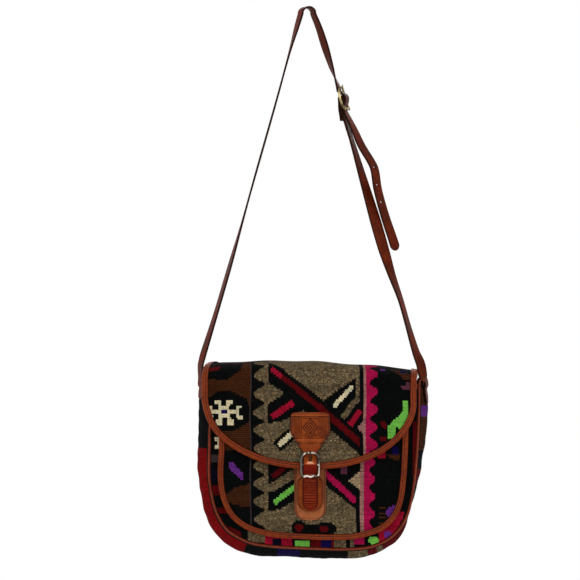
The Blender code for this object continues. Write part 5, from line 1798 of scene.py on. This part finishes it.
def world_light():
    """Soft, even light, and white wherever the world itself is seen."""
    world = bpy.data.worlds.new("studio")
    bpy.context.scene.world = world
    world.use_nodes = True
    tree = world.node_tree
    light = tree.nodes["Background"]
    seen = tree.nodes.new("ShaderNodeBackground")
    for node, strength in ((light, WORLD_STRENGTH), (seen, 1.0)):
        node.inputs["Color"].default_value = (1, 1, 1, 1)
        node.inputs["Strength"].default_value = strength
    path = tree.nodes.new("ShaderNodeLightPath")
    some = path.outputs["Is Camera Ray"]
    for name in ("Is Glossy Ray", "Is Transmission Ray"):
        either = tree.nodes.new("ShaderNodeMath")
        either.operation = "MAXIMUM"
        tree.links.new(some, either.inputs[0])
        tree.links.new(path.outputs[name], either.inputs[1])
        some = either.outputs[0]
    mixed = tree.nodes.new("ShaderNodeMixShader")
    for socket, source in zip(mixed.inputs, (some, light.outputs[0], seen.outputs[0])):
        tree.links.new(source, socket)
    output = next(n for n in tree.nodes if n.type == "OUTPUT_WORLD")
    tree.links.new(mixed.outputs[0], output.inputs[0])


def stage():
    bpy.context.scene.view_settings.view_transform = "Standard"
    camera()
    world_light()
    for light in LIGHTS:
        area_light(*light)
    floor = shaped("floor", bmesh.ops.create_circle, cap_ends=True, segments=64, radius=FLOOR_RADIUS,
                   matrix=Matrix.Translation((0, 0, -FLOOR_DROP)))
    floor.data.materials.append(backdrop_finish("pale_floor", (0.92, 0.92, 0.92, 1.0)))


def main():
    stage()
    wool = kilim_finish()
    binding_leather = leather_finish("binding_leather", srgb(122, 48, 14), srgb(80, 24, 8), srgb(50, 12, 5))
    piping_leather = leather_finish("piping_leather", srgb(112, 46, 26), srgb(74, 24, 14), srgb(60, 20, 12))
    # The second pair is the tab's darker red lower end, painted shade where it turns down under the bar
    tab_leather = leather_finish("tab_leather", srgb(146, 68, 26), srgb(108, 42, 14), srgb(54, 18, 8),
                                 (srgb(82, 10, 4), srgb(116, 24, 8)))
    patch_leather = leather_finish("patch_leather", srgb(168, 98, 58), srgb(136, 74, 42), srgb(84, 36, 18))
    strap_leather = leather_finish("strap_leather", srgb(106, 36, 8), srgb(60, 16, 4), srgb(36, 14, 8))
    lining_cloth = cloth_finish()
    thread = thread_finish()
    silver = metal_finish("silver_plate", srgb(246, 236, 220), srgb(44, 32, 26), 0.16, SILVER_PAINTED_SHADE)
    prong_steel = metal_finish("prong_steel", srgb(104, 70, 50), srgb(40, 26, 18), 0.3)
    brass = metal_finish("old_brass", srgb(220, 200, 146), srgb(84, 72, 44), 0.22, BRASS_DARKER_TOP)

    pieces = []
    for slot, group in (("kilim", cloth_sheets(wool) + [gusset_cloth(wool)]),
                        ("lining_cloth", linings(lining_cloth)),
                        ("binding_leather", bindings(binding_leather, thread) + pipings(piping_leather))):
        for made in group:
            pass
        pieces += group
    pieces += closure_leather(tab_leather, patch_leather, thread) + shoulder_straps(strap_leather)
    for made in pieces:
        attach(made, "bag")

    for node, finish in (("closure_buckle", silver), ("closure_prong", prong_steel),
                         ("strap_buckle", brass), ("strap_prong", brass)):
        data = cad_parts[node].data
        data.materials.clear()
        data.materials.append(finish)


main()
